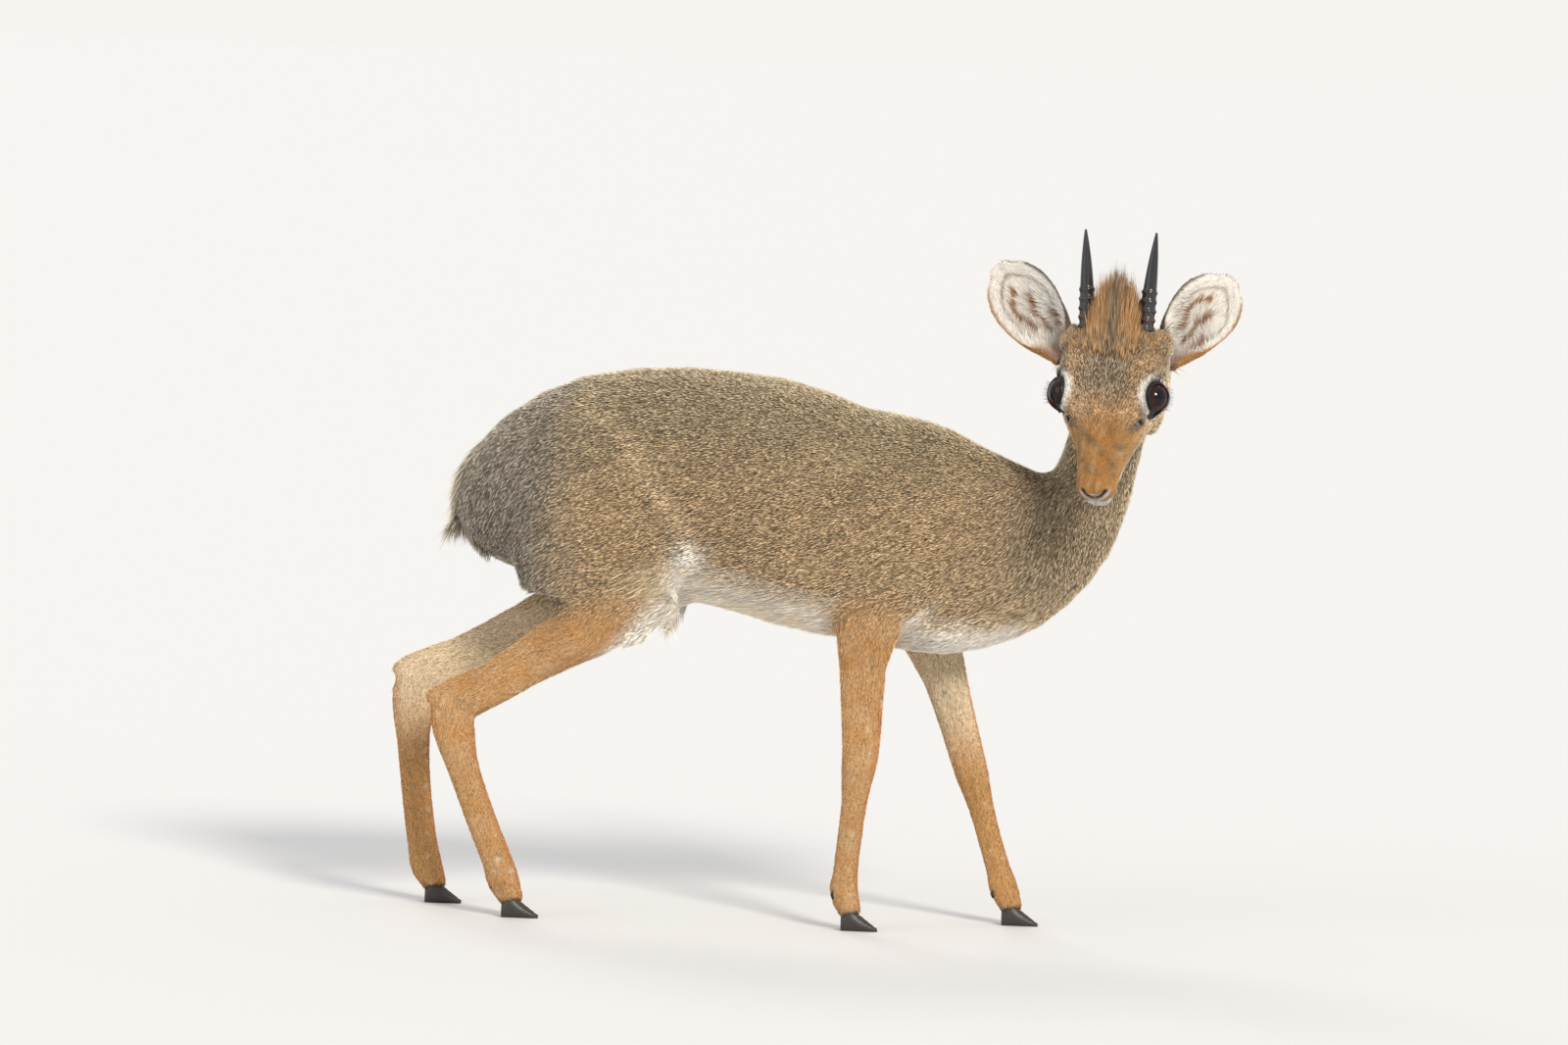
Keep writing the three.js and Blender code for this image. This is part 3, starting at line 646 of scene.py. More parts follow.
def body_colour(place, normal):
    """The coat's colour and its strength of pepper and salt at each place of the body."""
    x, y, z = place.T
    wave = patchy(place, 60, 3)
    color = np.tile(TAWNY, (len(place), 1))
    color = over(color, GREY_BACK, smooth(285, 375, z + 10 * wave))
    color = over(color, RUMP_GREY, smooth(-95, -165, x + 8 * wave) * smooth(180, 235, z))
    color = over(color, NECK_GREY, smooth(150, 215, x) * smooth(215, 250, z))
    # A pale band over the upper flank before the rump, on both sides, is a painted highlight along a fold.
    painted_flank_highlight_and_horn_streak = bump(x + 108 - (370 - z) * 0.72 + 4 * wave, 9) * smooth(262, 290, z) * (1 - smooth(345, 375, z))
    color = over(color, PAINTED_HIGHLIGHT, 0.55 * painted_flank_highlight_and_horn_streak * (np.abs(normal[:, 1]) > 0.2))
    color = over(color, CREAM, 0.85 * under_side(place))
    below = smooth(-0.45, -0.8, normal[:, 2]) * smooth(-90, -60, x)
    below = below * (1 - smooth(190, 215, x)) * smooth(175, 190, z)
    color = over(color, WHITE, 0.9 * below)
    facing_down = smooth(-0.1, -0.5, normal[:, 2] + 0.2 * np.abs(normal[:, 1]))
    armpit = bump(np.hypot(x - 150, (z - 214) * 1.6), 26) * facing_down
    color = over(color, WHITE, 0.8 * armpit)
    legs, _ = leg_flow(place)
    color = over(color, LEG_GOLD, legs * 0.9)
    outer = np.sign(y) * normal[:, 1]
    inner = smooth(0.15, -0.6, outer) * legs * smooth(100, 165, z)
    color = over(color, CREAM, 0.85 * inner)
    front = smooth(0.45, 0.95, normal[:, 0]) * legs * (1 - smooth(150, 200, z))
    color = over(color, RUST, 0.55 * front * (outer > -0.5))
    hock = bump(np.abs(z - 152), 26) * smooth(-0.3, -0.9, normal[:, 0]) * (x < -150)
    color = over(color, RUST, 0.6 * hock)
    # Paler patches on the outer side of each leg are a painted highlight.
    painted_leg_highlight = legs * smooth(0.2, 0.8, outer) * (0.5 + 0.5 * patchy(place, 26, 8))
    color = over(color, PAINTED_HIGHLIGHT, 0.35 * np.clip(painted_leg_highlight, 0, 1))
    groin = ball_mask(place, [-62, 0, 226], 26)
    color = over(color, WHITE, np.clip(groin * 1.3, 0, 1))
    fold = distance_to_line(from_the_side(place), FLANK_FOLD)
    fold = bump(fold, 4.5 + 6.5 * smooth(-130, -50, x))
    color = over(color, WHITE, 0.95 * fold * smooth(-250, -150, x))
    rear = smooth(-190, -206, x) * bump(np.abs(y), 15) * smooth(245, 300, z)
    color = over(color, DARK, 0.5 * rear)
    speck = smooth(0.95, 1.3, patchy(place, 8, 77)) * legs * (1 - smooth(170, 220, z))
    color = over(color, CREAM, 0.6 * speck)
    coronet = 1 - smooth(8, 18, z)
    color = over(color, DARK, 0.55 * coronet)
    grizzle = np.clip(1.0 - 0.62 * legs - 0.7 * under_side(place) - 0.8 * below, 0.16, 1)
    return np.clip(color * (1 + 0.08 * wave[:, None]), 0, 1), grizzle


def head_colour(spot, normal):
    """The coat's colour and its strength of pepper and salt at each place of the head."""
    x, y, z = spot.T
    side = np.abs(y)
    color = np.tile(CHEEK, (len(spot), 1))
    top = smooth(-0.15, 0.35, normal[:, 2])
    color = over(color, FACE_BROWN, top * (1 - smooth(4, 22, x)))
    color = over(color, FACE_ORANGE, smooth(-0.3, 0.25, normal[:, 2]) * smooth(0, 24, x))
    brow = top * bump(side - 25, 9) * (1 - smooth(2, 20, x))
    color = over(color, FACE_ORANGE, 0.6 * brow)
    dark_centre = top * bump(side, 11 + 2 * patchy(spot, 30, 5)) * bump(x + 26, 20)
    color = over(color, DARK, 0.62 * dark_centre)
    blotch = np.clip(patchy(spot, 16, 44), 0, 1) * smooth(8, 20, x) * top
    color = over(color, FACE_BROWN * 0.7, 0.5 * blotch)
    sheen = np.clip(patchy(spot, 9, 45), 0, 1) * smooth(0, 14, x) * top
    color = over(color, PAINTED_HIGHLIGHT, 0.35 * sheen)
    beside = bump(side - 15, 4) * smooth(12, 26, x) * smooth(0.1, 0.5, normal[:, 2])
    color = over(color, CHEEK, 0.35 * beside)
    edge, height = lid_distance(spot)
    ring = bump(edge - 2.9, 2.7) * (0.25 + 0.75 * smooth(-1, 4, height))
    color = over(color, WHITE, np.clip(1.25 * ring, 0, 1))
    ear_root = ball_mask(both_sides(spot), [-42, 29, 8], 15)
    color = over(color, FACE_BROWN, 0.8 * ear_root)
    under_ear = bump(np.hypot(x + 33, z + 6), 8) * (side > 30)
    color = over(color, WHITE, 0.8 * under_ear)
    under_eye = bump(edge - 4.5, 3.5) * smooth(-4, -9, height)
    color = over(color, CREAM, 0.85 * under_eye)
    gland = bump(np.hypot((x - 19) * 0.6, z + 3), 3.0) * (side > 16) * (side < 33)
    color = over(color, BLACK, np.clip(1.5 * gland, 0, 1))
    jaw = smooth(-24, -34, z)
    color = over(color, CREAM, 0.35 * jaw)
    rim = bump(distance_to_line(both_sides(spot), NOSTRIL) - 2.8, 1.2) * smooth(-12, -15, z)
    color = over(color, LIP, 0.8 * rim)
    lip = smooth(34, 50, x) * smooth(-20.5, -23, z)
    color = over(color, LIP, lip)
    throat = smooth(-38, -46, z) * (1 - smooth(20, 40, x))
    color = over(color, NECK_GREY, 0.5 * throat)
    back = smooth(-40, -56, x)
    color = over(color, NECK_GREY, 0.7 * back)
    freckle = ball_mask(spot, [-2, 6.5, 19.5], 1.8)
    color = over(color, BLACK, np.clip(1.3 * freckle, 0, 1))
    off_ring = 1 - np.clip(ring, 0, 1)
    pepper = np.clip(0.5 + 0.7 * patchy(spot, 12, 46), 0, 1) * top * (1 - smooth(4, 16, x)) * off_ring
    color = over(color, DARK, 0.22 * pepper)
    grizzle = 0.95 * (1 - smooth(14, 34, x)) * off_ring + 0.25
    return np.clip(color, 0, 1), np.clip(grizzle, 0, 1)


# %% [markdown]
# ## The coat in Geometry Nodes
# One tree lays all the tufts. It scatters points over a skin by a density attribute, turns a small
# template along the stored lie, varies size and brightness, and realizes the result, so that the coat is
# plain solid mesh. Every tuft keeps the place of its root on the skin's unwrap as a small patch of UV,
# for the later bake of its colour.

# %% The tree
PATCH = 0.003
UNWRAP = "OFBake"


def tuft_template(name, levels):
    """A closed, tapered blade one unit long on +Z; levels are (z, width, sag towards -Y)."""
    points, faces, tips = [], [], []
    for z, width, sag in levels:
        front, ridge = -0.22 * width - sag, 0.34 * width - sag
        points += [(-0.5 * width, front, z), (0.5 * width, front, z), (0, ridge, z)]
        tips += [z, z, z]
    top = levels[-1]
    points.append((0, -top[2] - 0.10, 1.0))
    tips.append(1.0)
    faces.append((0, 2, 1))
    for level in range(len(levels) - 1):
        for k in range(3):
            a, b = level * 3 + k, level * 3 + (k + 1) % 3
            faces += [(a, b, b + 3), (a, b + 3, a + 3)]
    last = (len(levels) - 1) * 3
    faces += [(last + k, last + (k + 1) % 3, len(points) - 1) for k in range(3)]
    made = mesh_object(name, points, faces, smooth_shade=False)
    put(made, "tip", "FLOAT", np.array(tips))
    flat = np.array([(p[0] * 0.6, p[2] - 0.5, 0) for p in points]) * PATCH
    put(made, "patch", "FLOAT_VECTOR", flat)
    return made


def put(thing, name, kind, values):
    mesh = thing.data
    if name in mesh.attributes:
        mesh.attributes.remove(mesh.attributes[name])
    attribute = mesh.attributes.new(name, kind, "POINT")
    values = np.asarray(values, np.float32)
    if kind == "FLOAT_COLOR":
        values = np.concatenate([values, np.ones((len(values), 1), np.float32)], 1)
        attribute.data.foreach_set("color", values.ravel())
    elif kind == "FLOAT_VECTOR":
        attribute.data.foreach_set("vector", values.ravel())
    else:
        attribute.data.foreach_set("value", values.ravel())


def feed(links, socket, value):
    """Gives a socket a link from another socket, or a plain value."""
    if isinstance(value, bpy.types.NodeSocket):
        links.new(value, socket)
    else:
        socket.default_value = value


class Tree:
    """Builds a node tree a line at a time."""

    def __init__(self, name, inputs):
        self.tree = bpy.data.node_groups.new(name, "GeometryNodeTree")
        face = self.tree.interface
        face.new_socket("Skin", in_out="INPUT", socket_type="NodeSocketGeometry")
        self.ids = {}
        for label, kind in inputs:
            socket = face.new_socket(label, in_out="INPUT", socket_type="NodeSocket" + kind)
            self.ids[label] = socket.identifier
        face.new_socket("Coat", in_out="OUTPUT", socket_type="NodeSocketGeometry")
        self.start = self.tree.nodes.new("NodeGroupInput")
        self.end = self.tree.nodes.new("NodeGroupOutput")

    def node(self, kind, settings=None, **links):
        made = self.tree.nodes.new(kind)
        for key, value in (settings or {}).items():
            setattr(made, key, value)
        names = [socket.name for socket in made.inputs]
        for key, value in links.items():
            number = int(key[1:]) if key[1:].isdigit() else names.index(key)
            feed(self.tree.links, made.inputs[number], value)
        return made

    def attribute(self, name, kind):
        node = self.node("GeometryNodeInputNamedAttribute", {"data_type": kind}, Name=name)
        return node.outputs[0]

    def random(self, low, high, seed, vector=False):
        kind = "FLOAT_VECTOR" if vector else "FLOAT"
        node = self.node("FunctionNodeRandomValue", {"data_type": kind})
        picked = 0 if vector else 2
        node.inputs[picked].default_value = (low,) * 3 if vector else low
        node.inputs[picked + 1].default_value = (high,) * 3 if vector else high
        node.inputs["Seed"].default_value = seed
        return node.outputs[0 if vector else 1]

    def maths(self, operation, a, b):
        return self.node("ShaderNodeMath", {"operation": operation}, i0=a, i1=b).outputs[0]

    def vector(self, operation, a, b=None, scale=None):
        node = self.node("ShaderNodeVectorMath", {"operation": operation}, i0=a)
        if b is not None:
            feed(self.tree.links, node.inputs[1], b)
        if scale is not None:
            feed(self.tree.links, node.inputs["Scale"], scale)
        return node.outputs[0]

    def store(self, geometry, name, kind, value, domain="POINT"):
        settings = {"data_type": kind, "domain": domain}
        node = self.node("GeometryNodeStoreNamedAttribute", settings, Geometry=geometry)
        node.inputs["Name"].default_value = name
        self.tree.links.new(value, node.inputs["Value"])
        return node.outputs[0]


def coat_tree():
    t = Tree("lay_coat", [("Density", "Float"), ("Seed", "Int"), ("Width", "Float"), ("Stray", "Float"),
                          ("Tuft", "Object"), ("Material", "Material")])
    start = t.start.outputs
    share = t.attribute("share", "FLOAT")
    scatter = t.node("GeometryNodeDistributePointsOnFaces", {"distribute_method": "RANDOM"},
                     Mesh=start["Skin"])
    t.tree.links.new(t.maths("MULTIPLY", share, start["Density"]), scatter.inputs["Density"])
    t.tree.links.new(start["Seed"], scatter.inputs["Seed"])
    root = t.attribute(UNWRAP, "FLOAT_VECTOR")
    points = t.store(scatter.outputs["Points"], "root_uv", "FLOAT_VECTOR", root)
    points = t.node("GeometryNodeRemoveAttribute", None, Geometry=points, Name=UNWRAP).outputs[0]
    lift = t.attribute("lift", "FLOAT")
    lie = t.attribute("lie", "FLOAT_VECTOR")
    raised = t.vector("ADD", lie, t.vector("SCALE", scatter.outputs["Normal"], scale=lift))
    stray = t.vector("SCALE", t.random(-1, 1, 5, vector=True), scale=start["Stray"])
    way = t.vector("NORMALIZE", t.vector("ADD", raised, stray))
    turned = t.node("FunctionNodeAlignRotationToVector", {"axis": "Z"}, Vector=way).outputs[0]
    turned = t.node("FunctionNodeAlignRotationToVector", {"axis": "Y", "pivot_axis": "Z"},
                    Rotation=turned, Vector=scatter.outputs["Normal"]).outputs[0]
    length = t.maths("MULTIPLY", t.attribute("length", "FLOAT"), t.random(0.7, 1.25, 6))
    width = t.maths("MULTIPLY", start["Width"], t.random(0.7, 1.3, 7))
    scale = t.node("ShaderNodeCombineXYZ", None, X=width, Y=width, Z=length).outputs[0]
    shade = t.maths("SUBTRACT", t.random(0, 1, 8), 0.5)
    points = t.store(points, "shade", "FLOAT", shade)
    template = t.node("GeometryNodeObjectInfo", None, Object=start["Tuft"]).outputs["Geometry"]
    laid = t.node("GeometryNodeInstanceOnPoints", None, Points=points, Instance=template,
                  Rotation=turned, Scale=scale)
    real = t.node("GeometryNodeRealizeInstances", None, Geometry=laid.outputs[0]).outputs[0]
    uv = t.vector("ADD", t.attribute("root_uv", "FLOAT_VECTOR"), t.attribute("patch", "FLOAT_VECTOR"))
    real = t.store(real, UNWRAP, "FLOAT2", uv, "CORNER")
    real = t.node("GeometryNodeSetMaterial", None, Geometry=real, Material=start["Material"]).outputs[0]
    t.tree.links.new(real, t.end.inputs[0])
    return t


COAT_TREE = coat_tree()
print("the coat's tree has", len(COAT_TREE.tree.nodes), "nodes")


def covered_area(skin, share):
    """Square metres of the skin, each face counted by its share."""
    corners = np.empty(len(skin.data.loops), np.int64)
    skin.data.loops.foreach_get("vertex_index", corners)
    starts = np.empty(len(skin.data.polygons), np.int64)
    skin.data.polygons.foreach_get("loop_start", starts)
    areas = np.empty(len(skin.data.polygons))
    skin.data.polygons.foreach_get("area", areas)
    per_face = np.add.reduceat(share[corners], starts) / np.diff(np.append(starts, len(corners)))
    return float((per_face * areas).sum())


def lay_coat(name, skin, share, count, width, template, material, seed, stray=0.12):
    """A coat piece of about count tufts on the skin, where share is over 0."""
    put(skin, "share", "FLOAT", share)
    covered = covered_area(skin, share)
    modifier = skin.modifiers.new("coat", "NODES")
    modifier.node_group = COAT_TREE.tree
    values = {"Density": count / covered, "Seed": seed, "Width": width, "Stray": stray, "Tuft": template,
              "Material": material}
    for label, value in values.items():
        modifier[COAT_TREE.ids[label]] = value
    made = plain_copy(skin, name)
    skin.modifiers.remove(modifier)
    for extra in ("root_uv", "patch", "share", "lift", "lie", "length"):
        if extra in made.data.attributes:
            made.data.attributes.remove(made.data.attributes[extra])
    print(name, "covers", round(covered * 1e4), "square cm with", len(made.data.polygons), "triangles")
    return made


# %% [markdown]
# ## Skins below the hair
# The measured model reaches the tips of the hair, so each skin lies inside it by the depth of the coat
# there. The last smoothing also melts the stiff locks of the measured tail and sheath, whose hair comes
# back as real tufts.

# %% Sinking the skins
TRUNK_DEPTH, THIGH_DEPTH, SHIN_DEPTH = 2.6, 2.0, 0.7
TAIL_MIDDLE, TAIL_STRETCH = np.array([-205, 0, 297]), np.array([1, 1, 1.8])


def sink(thing, depth):
    """Moves each point inwards by its own depth, in millimetres."""
    move_points(thing, points_of(thing) - normals_of(thing) * depth[:, None] * MM)


place = body_places(body_skin)
legs, _ = leg_flow(place)
low_leg = shin_share(place)
depth = TRUNK_DEPTH * (1 - legs) + THIGH_DEPTH * legs
depth = depth * (1 - low_leg) + SHIN_DEPTH * low_leg
tail_root = bump(np.linalg.norm((place - TAIL_MIDDLE) / TAIL_STRETCH, axis=1), 22)
sheath = ball_mask(place, [-45, 0, 207], 20)
relax(body_skin, 70, 0.7 * np.clip(tail_root * 1.6 + sheath * 1.6, 0, 1), keep_volume=False)
sink(body_skin, depth)


def tendons(place, normal):
    """How far the outer sides of the lower legs sink between bone and tendon."""
    groove = np.zeros(len(place))
    for line in LEG_LINES.values():
        for a, b in zip(line[1:-2], line[2:-1]):
            way = unit((b - a) * np.array([1, 0, 1]))
            ahead = np.array([-way[2], 0, way[0]])
            rel = place - a
            t = rel @ way / np.linalg.norm(b - a)
            near = (t > -0.05) & (t < 1.05) & (np.abs(rel[:, 1]) < 16)
            near &= np.abs(rel @ ahead) < 16
            two_grooves = bump(rel @ ahead + 3.6, 1.9) + 0.55 * bump(rel @ ahead - 3.0, 1.5)
            groove = np.maximum(groove, near * two_grooves)
    height = place[:, 2]
    on_shin = smooth(24, 34, height) * (1 - smooth(150, 185, height))
    return groove * smooth(0.45, 0.8, np.abs(normal[:, 1])) * on_shin


place = body_places(body_skin)
sink(body_skin, 0.9 * tendons(place, normals_of(body_skin)))
relax(body_skin, 2, 0.4)

spot = head_places(head_skin)
sink(head_skin, 1.0 - 0.8 * smooth(56, 66, spot[:, 0]))
print("the skins lie up to", round(float(depth.max()), 1), "mm inside the hair's tips")

# %% [markdown]
# ## Sockets, lids, nostrils and mouth
# An antelope's eye is a large dark ball that the lids wrap closely, so the skin around it is drawn onto a
# slightly larger ball and opened along an almond with a long front corner. Nostrils, the slit of the
# mouth and the scent gland before the eye are grooves pressed into the same skin. The nose is first
# divided finer, to hold them.

# %% Finer squares where the detail is
def divide_near(thing, wanted):
    """Splits every square whose middle passes the test into four."""
    mesh = bmesh.new()
    mesh.from_mesh(thing.data)
    middles = np.array([f.calc_center_median() for f in mesh.faces])
    picked = wanted(drawing_to_head(to_drawing(middles)))
    edges = {e for f, take in zip(mesh.faces, picked) if take for e in f.edges}
    bmesh.ops.subdivide_edges(mesh, edges=list(edges), cuts=1, use_grid_fill=True)
    mesh.to_mesh(thing.data)
    mesh.free()
    thing.data.polygons.foreach_set("use_smooth", [True] * len(thing.data.polygons))


def nose_or_lids(spot):
    near_eye = eye_distance(spot) < 18
    return (spot[:, 0] > 50) | near_eye | ((spot[:, 0] > 28) & (np.abs(spot[:, 2] + 27) < 4))


divide_near(head_skin, nose_or_lids)
relax(head_skin, 4, 0.5)
print("head skin now has", len(head_skin.data.polygons), "squares")

# %% The almond of the lids
LID_CORNERS = [(-10.6, 1.2), (-8.0, 6.0), (-3, 8.8), (3, 8.5), (7.2, 5.4), (10, 1.0), (13.0, -4.4),
               (8.2, -6.0), (3.4, -8.2), (-2.6, -8.4), (-7.4, -5.8), (-10.0, -2.4)]
GAZE = unit(np.array([0.30, 0.74, 0.60]))


def eye_axes(side):
    """Forward, up and outward axes of one eye, in the head's axes."""
    outward = GAZE * np.array([1, side, 1])
    forward = unit(np.array([1.0, 0, -0.12]) - outward * np.dot(outward, [1.0, 0, -0.12]))
    up = np.cross(outward, forward) * -side
    return np.array([forward, up, outward])


def in_eye(spot, side):
    """Places in the axes of the eye on that side, from the middle of its ball."""
    return (spot - EYE_PLACE * np.array([1, side, 1])) @ eye_axes(side).T


def from_eye(local, side):
    return local @ eye_axes(side) + EYE_PLACE * np.array([1, side, 1])


def closed_curve(corners, count):
    """Points of a smooth closed curve through the corners."""
    rows = np.array(list(corners[-1:]) + list(corners) + list(corners[:2]), float)
    found = []
    for step in range(count):
        place = step / count * len(corners)
        i = int(place)
        found.append(curve_point(place - i, *rows[i:i + 4]))
    return np.array(found)


ALMOND = closed_curve(LID_CORNERS, 96)
print("the lids open", np.round(np.ptp(ALMOND, axis=0), 1), "mm")


def outside_almond(flat):
    """Distance from the lids' edge, negative in the opening."""
    nearest = np.full(len(flat), 1e9)
    inside = np.zeros(len(flat), bool)
    for a, b in zip(ALMOND, np.roll(ALMOND, -1, 0)):
        nearest = np.minimum(nearest, distance_to_piece(flat, a, b))
        crosses = (a[1] > flat[:, 1]) != (b[1] > flat[:, 1])
        if a[1] != b[1]:
            level = a[0] + (flat[:, 1] - a[1]) / (b[1] - a[1]) * (b[0] - a[0])
            inside ^= crosses & (flat[:, 0] < level)
    return np.where(inside, -nearest, nearest)


def lid_distance(spot):
    """How far each place is from the lids' edge, and how high it is over that eye's middle."""
    distance = np.full(len(spot), 40.0)
    height = np.zeros(len(spot))
    for side in (-1, 1):
        local = in_eye(spot, side)
        near = (np.linalg.norm(local, axis=1) < 28) & (local[:, 2] > -4)
        distance[near] = outside_almond(local[near, :2])
        height[near] = local[near, 1]
    return distance, height


# %% Shaping the head's skin
LID_BALL, LINING_BALL = 13.0, 11.0
NOSTRIL = [(70.0, 7.6, -13.0), (71.4, 5.6, -14.6), (72.4, 3.2, -16.4), (72.9, 0.9, -18.0)]
MOUTH = [(30, 15.5, -25.5), (38, 13.2, -26.2), (48, 11.2, -26.4), (58, 9.2, -26.0),
         (66, 6.2, -25.4), (70.5, 0, -25)]
GLAND = np.array([19, 26, -3])

spot = head_places(head_skin)
outward = normals_of(head_skin) @ HEAD
for side in (-1, 1):
    local = in_eye(spot, side)
    far = np.linalg.norm(local, axis=1)
    near = (far < 26) & (local[:, 2] > -3)
    edge = outside_almond(local[near, :2])
    direction = unit(local[near])
    wrapped = LID_BALL + (far[near] - LID_BALL) * smooth(0.5, 8.5, edge)
    top = smooth(-2, 3, local[near, 1])
    wrapped += 0.55 * bump(edge - 1.0, 1.1) - (0.8 * top + 0.4) * bump(edge - 3.6, 1.0)
    opened = smooth(0.3, -0.4, edge)
    corner = np.linalg.norm(local[near, :2], axis=1) > 10.5
    lining = np.where(corner, LID_BALL - 2.6, LINING_BALL)
    wrapped = wrapped * (1 - opened) + lining * opened
    edge_fade = smooth(-3, 0, local[near, 2])[:, None]
    spot[near] = from_eye(local[near] * (1 - edge_fade) + direction * wrapped[:, None] * edge_fade, side)

nostril = distance_to_line(both_sides(spot), NOSTRIL)
mouth = distance_to_line(both_sides(spot), MOUTH)
gland = np.linalg.norm(both_sides(spot) - GLAND, axis=1)
push = -2.4 * bump(nostril, 1.05) + 0.5 * bump(nostril - 2.6, 1.1)
push -= 2.3 * bump(mouth, 0.9) - 0.6 * bump(mouth - 2.5, 1.4)
push -= 1.6 * bump(gland, 2.4) - 0.4 * bump(gland - 4.4, 1.4)
philtrum = bump(np.abs(spot[:, 1]), 0.8) * smooth(68, 71, spot[:, 0]) * (spot[:, 2] > -26)
push -= 0.9 * philtrum
nose = spot[:, 0] > 62
push[nose] += 0.10 * np.array([noise.noise(Vector(p) * 0.9) for p in spot[nose]])
spot += outward * push[:, None]
move_points(head_skin, head_to_frame(spot))
print("lids, nostrils and mouth moved the skin by up to", round(float(np.abs(push).max()), 1), "mm")

# %% [markdown]
# ## What the coat needs to know
# Every point of a skin carries the colour of the hair there, the way the hair lies, how long it is and
# how far it stands off. The unwrap of each skin is stored too: a tuft takes the place of its root on it.

# %% Attributes on the skins
def unwrap(thing):
    for other in bpy.context.selected_objects:
        other.select_set(False)
    bpy.context.view_layer.objects.active = thing
    thing.select_set(True)
    thing.data.uv_layers.new(name=UNWRAP)
    bpy.ops.object.mode_set(mode="EDIT")
    bpy.ops.mesh.select_all(action="SELECT")
    bpy.ops.uv.smart_project(angle_limit=math.radians(66), island_margin=0.002)
    bpy.ops.object.mode_set(mode="OBJECT")


def tell_skin(thing, color, grizzle, lie, length, lift):
    put(thing, "coat", "FLOAT_COLOR", color)
    put(thing, "grizzle", "FLOAT", grizzle)
    put(thing, "lie", "FLOAT_VECTOR", lie)
    put(thing, "length", "FLOAT", length * MM)
    put(thing, "lift", "FLOAT", lift)


for skin in (body_skin, head_skin):
    unwrap(skin)
    print(skin.name, "is unwrapped with", len(skin.data.loops), "corners")

body_place = body_places(body_skin)
body_normal = normals_of(body_skin)
body_shown, body_grizzle = body_colour(body_place, body_normal)
lift = 0.24 + 0.10 * patchy(body_place, 40, 21) * smooth(200, 260, body_place[:, 2])
lie = body_lie(body_place, body_normal)
tell_skin(body_skin, body_shown, body_grizzle, lie, body_length(body_place), lift)

head_spot = head_places(head_skin)
head_normal = normals_of(head_skin) @ HEAD
color, head_grizzle = head_colour(head_spot, head_normal)
edge, _ = lid_distance(head_spot)
folded = both_sides(head_spot)
bare = np.maximum(1 - smooth(0.9, 2.0, edge), bump(distance_to_line(folded, NOSTRIL), 1.7))
bare = np.maximum(bare, bump(distance_to_line(folded, MOUTH), 1.5))
head_shown = over(color, BLACK, np.clip(bare * 1.2, 0, 1))
lie = head_lie(head_spot, head_normal) @ HEAD.T
lift = np.full(len(head_spot), 0.2)
tell_skin(head_skin, head_shown, head_grizzle, lie, head_length(head_spot), lift)

# %% [markdown]
# ## The look of hair
# A hair of this coat is dark at its root, has a pale band, and often a dark tip. The shader reads how far
# along the tuft a point is and the place's strength of pepper and salt, and mixes a banded hair with a
# plain one. Each tuft is also a little lighter or darker than its neighbours. The skin has the same
# colours with a fine noise.

# %% Hair and skin materials
def shader_nodes(name):
    made = bpy.data.materials.new(name)
    made.use_nodes = True
    nodes = made.node_tree.nodes
    return made, nodes, made.node_tree.links, nodes["Principled BSDF"]


def ramp_node(nodes, stops):
    node = nodes.new("ShaderNodeValToRGB")
    line = node.color_ramp
    while len(line.elements) < len(stops):
        line.elements.new(0.5)
    for element, (place, value) in zip(line.elements, stops):
        element.position = place
        element.color = (value, value, value, 1)
    return node


def maths_node(nodes, links, operation, a, b):
    node = nodes.new("ShaderNodeMath")
    node.operation = operation
    for socket, value in zip(node.inputs, (a, b)):
        feed(links, socket, value)
    return node.outputs[0]


def fine_noise(nodes, links, grain, detail):
    """A noise on the piece's own coordinates whose grains are this many metres wide."""
    noise_node = nodes.new("ShaderNodeTexNoise")
    noise_node.inputs["Scale"].default_value = 1 / grain
    noise_node.inputs["Detail"].default_value = detail
    coordinates = nodes.new("ShaderNodeTexCoord").outputs["Object"]
    links.new(coordinates, noise_node.inputs["Vector"])
    return noise_node.outputs["Fac"]


def raise_surface(nodes, links, shader, height, strength, distance):
    """Bumps a surface by a height from 0 to 1."""
    raised = nodes.new("ShaderNodeBump")
    raised.inputs["Strength"].default_value = strength
    raised.inputs["Distance"].default_value = distance
    links.new(height, raised.inputs["Height"])
    links.new(raised.outputs[0], shader.inputs["Normal"])


def brighten(nodes, links, shader, color, brightness):
    """The base colour is a colour times a brightness."""
    scaled = nodes.new("ShaderNodeVectorMath")
    scaled.operation = "SCALE"
    links.new(color, scaled.inputs[0])
    links.new(brightness, scaled.inputs["Scale"])
    links.new(scaled.outputs[0], shader.inputs["Base Color"])


def read_attribute(nodes, name, output):
    node = nodes.new("ShaderNodeAttribute")
    node.attribute_name = name
    return node.outputs[output]


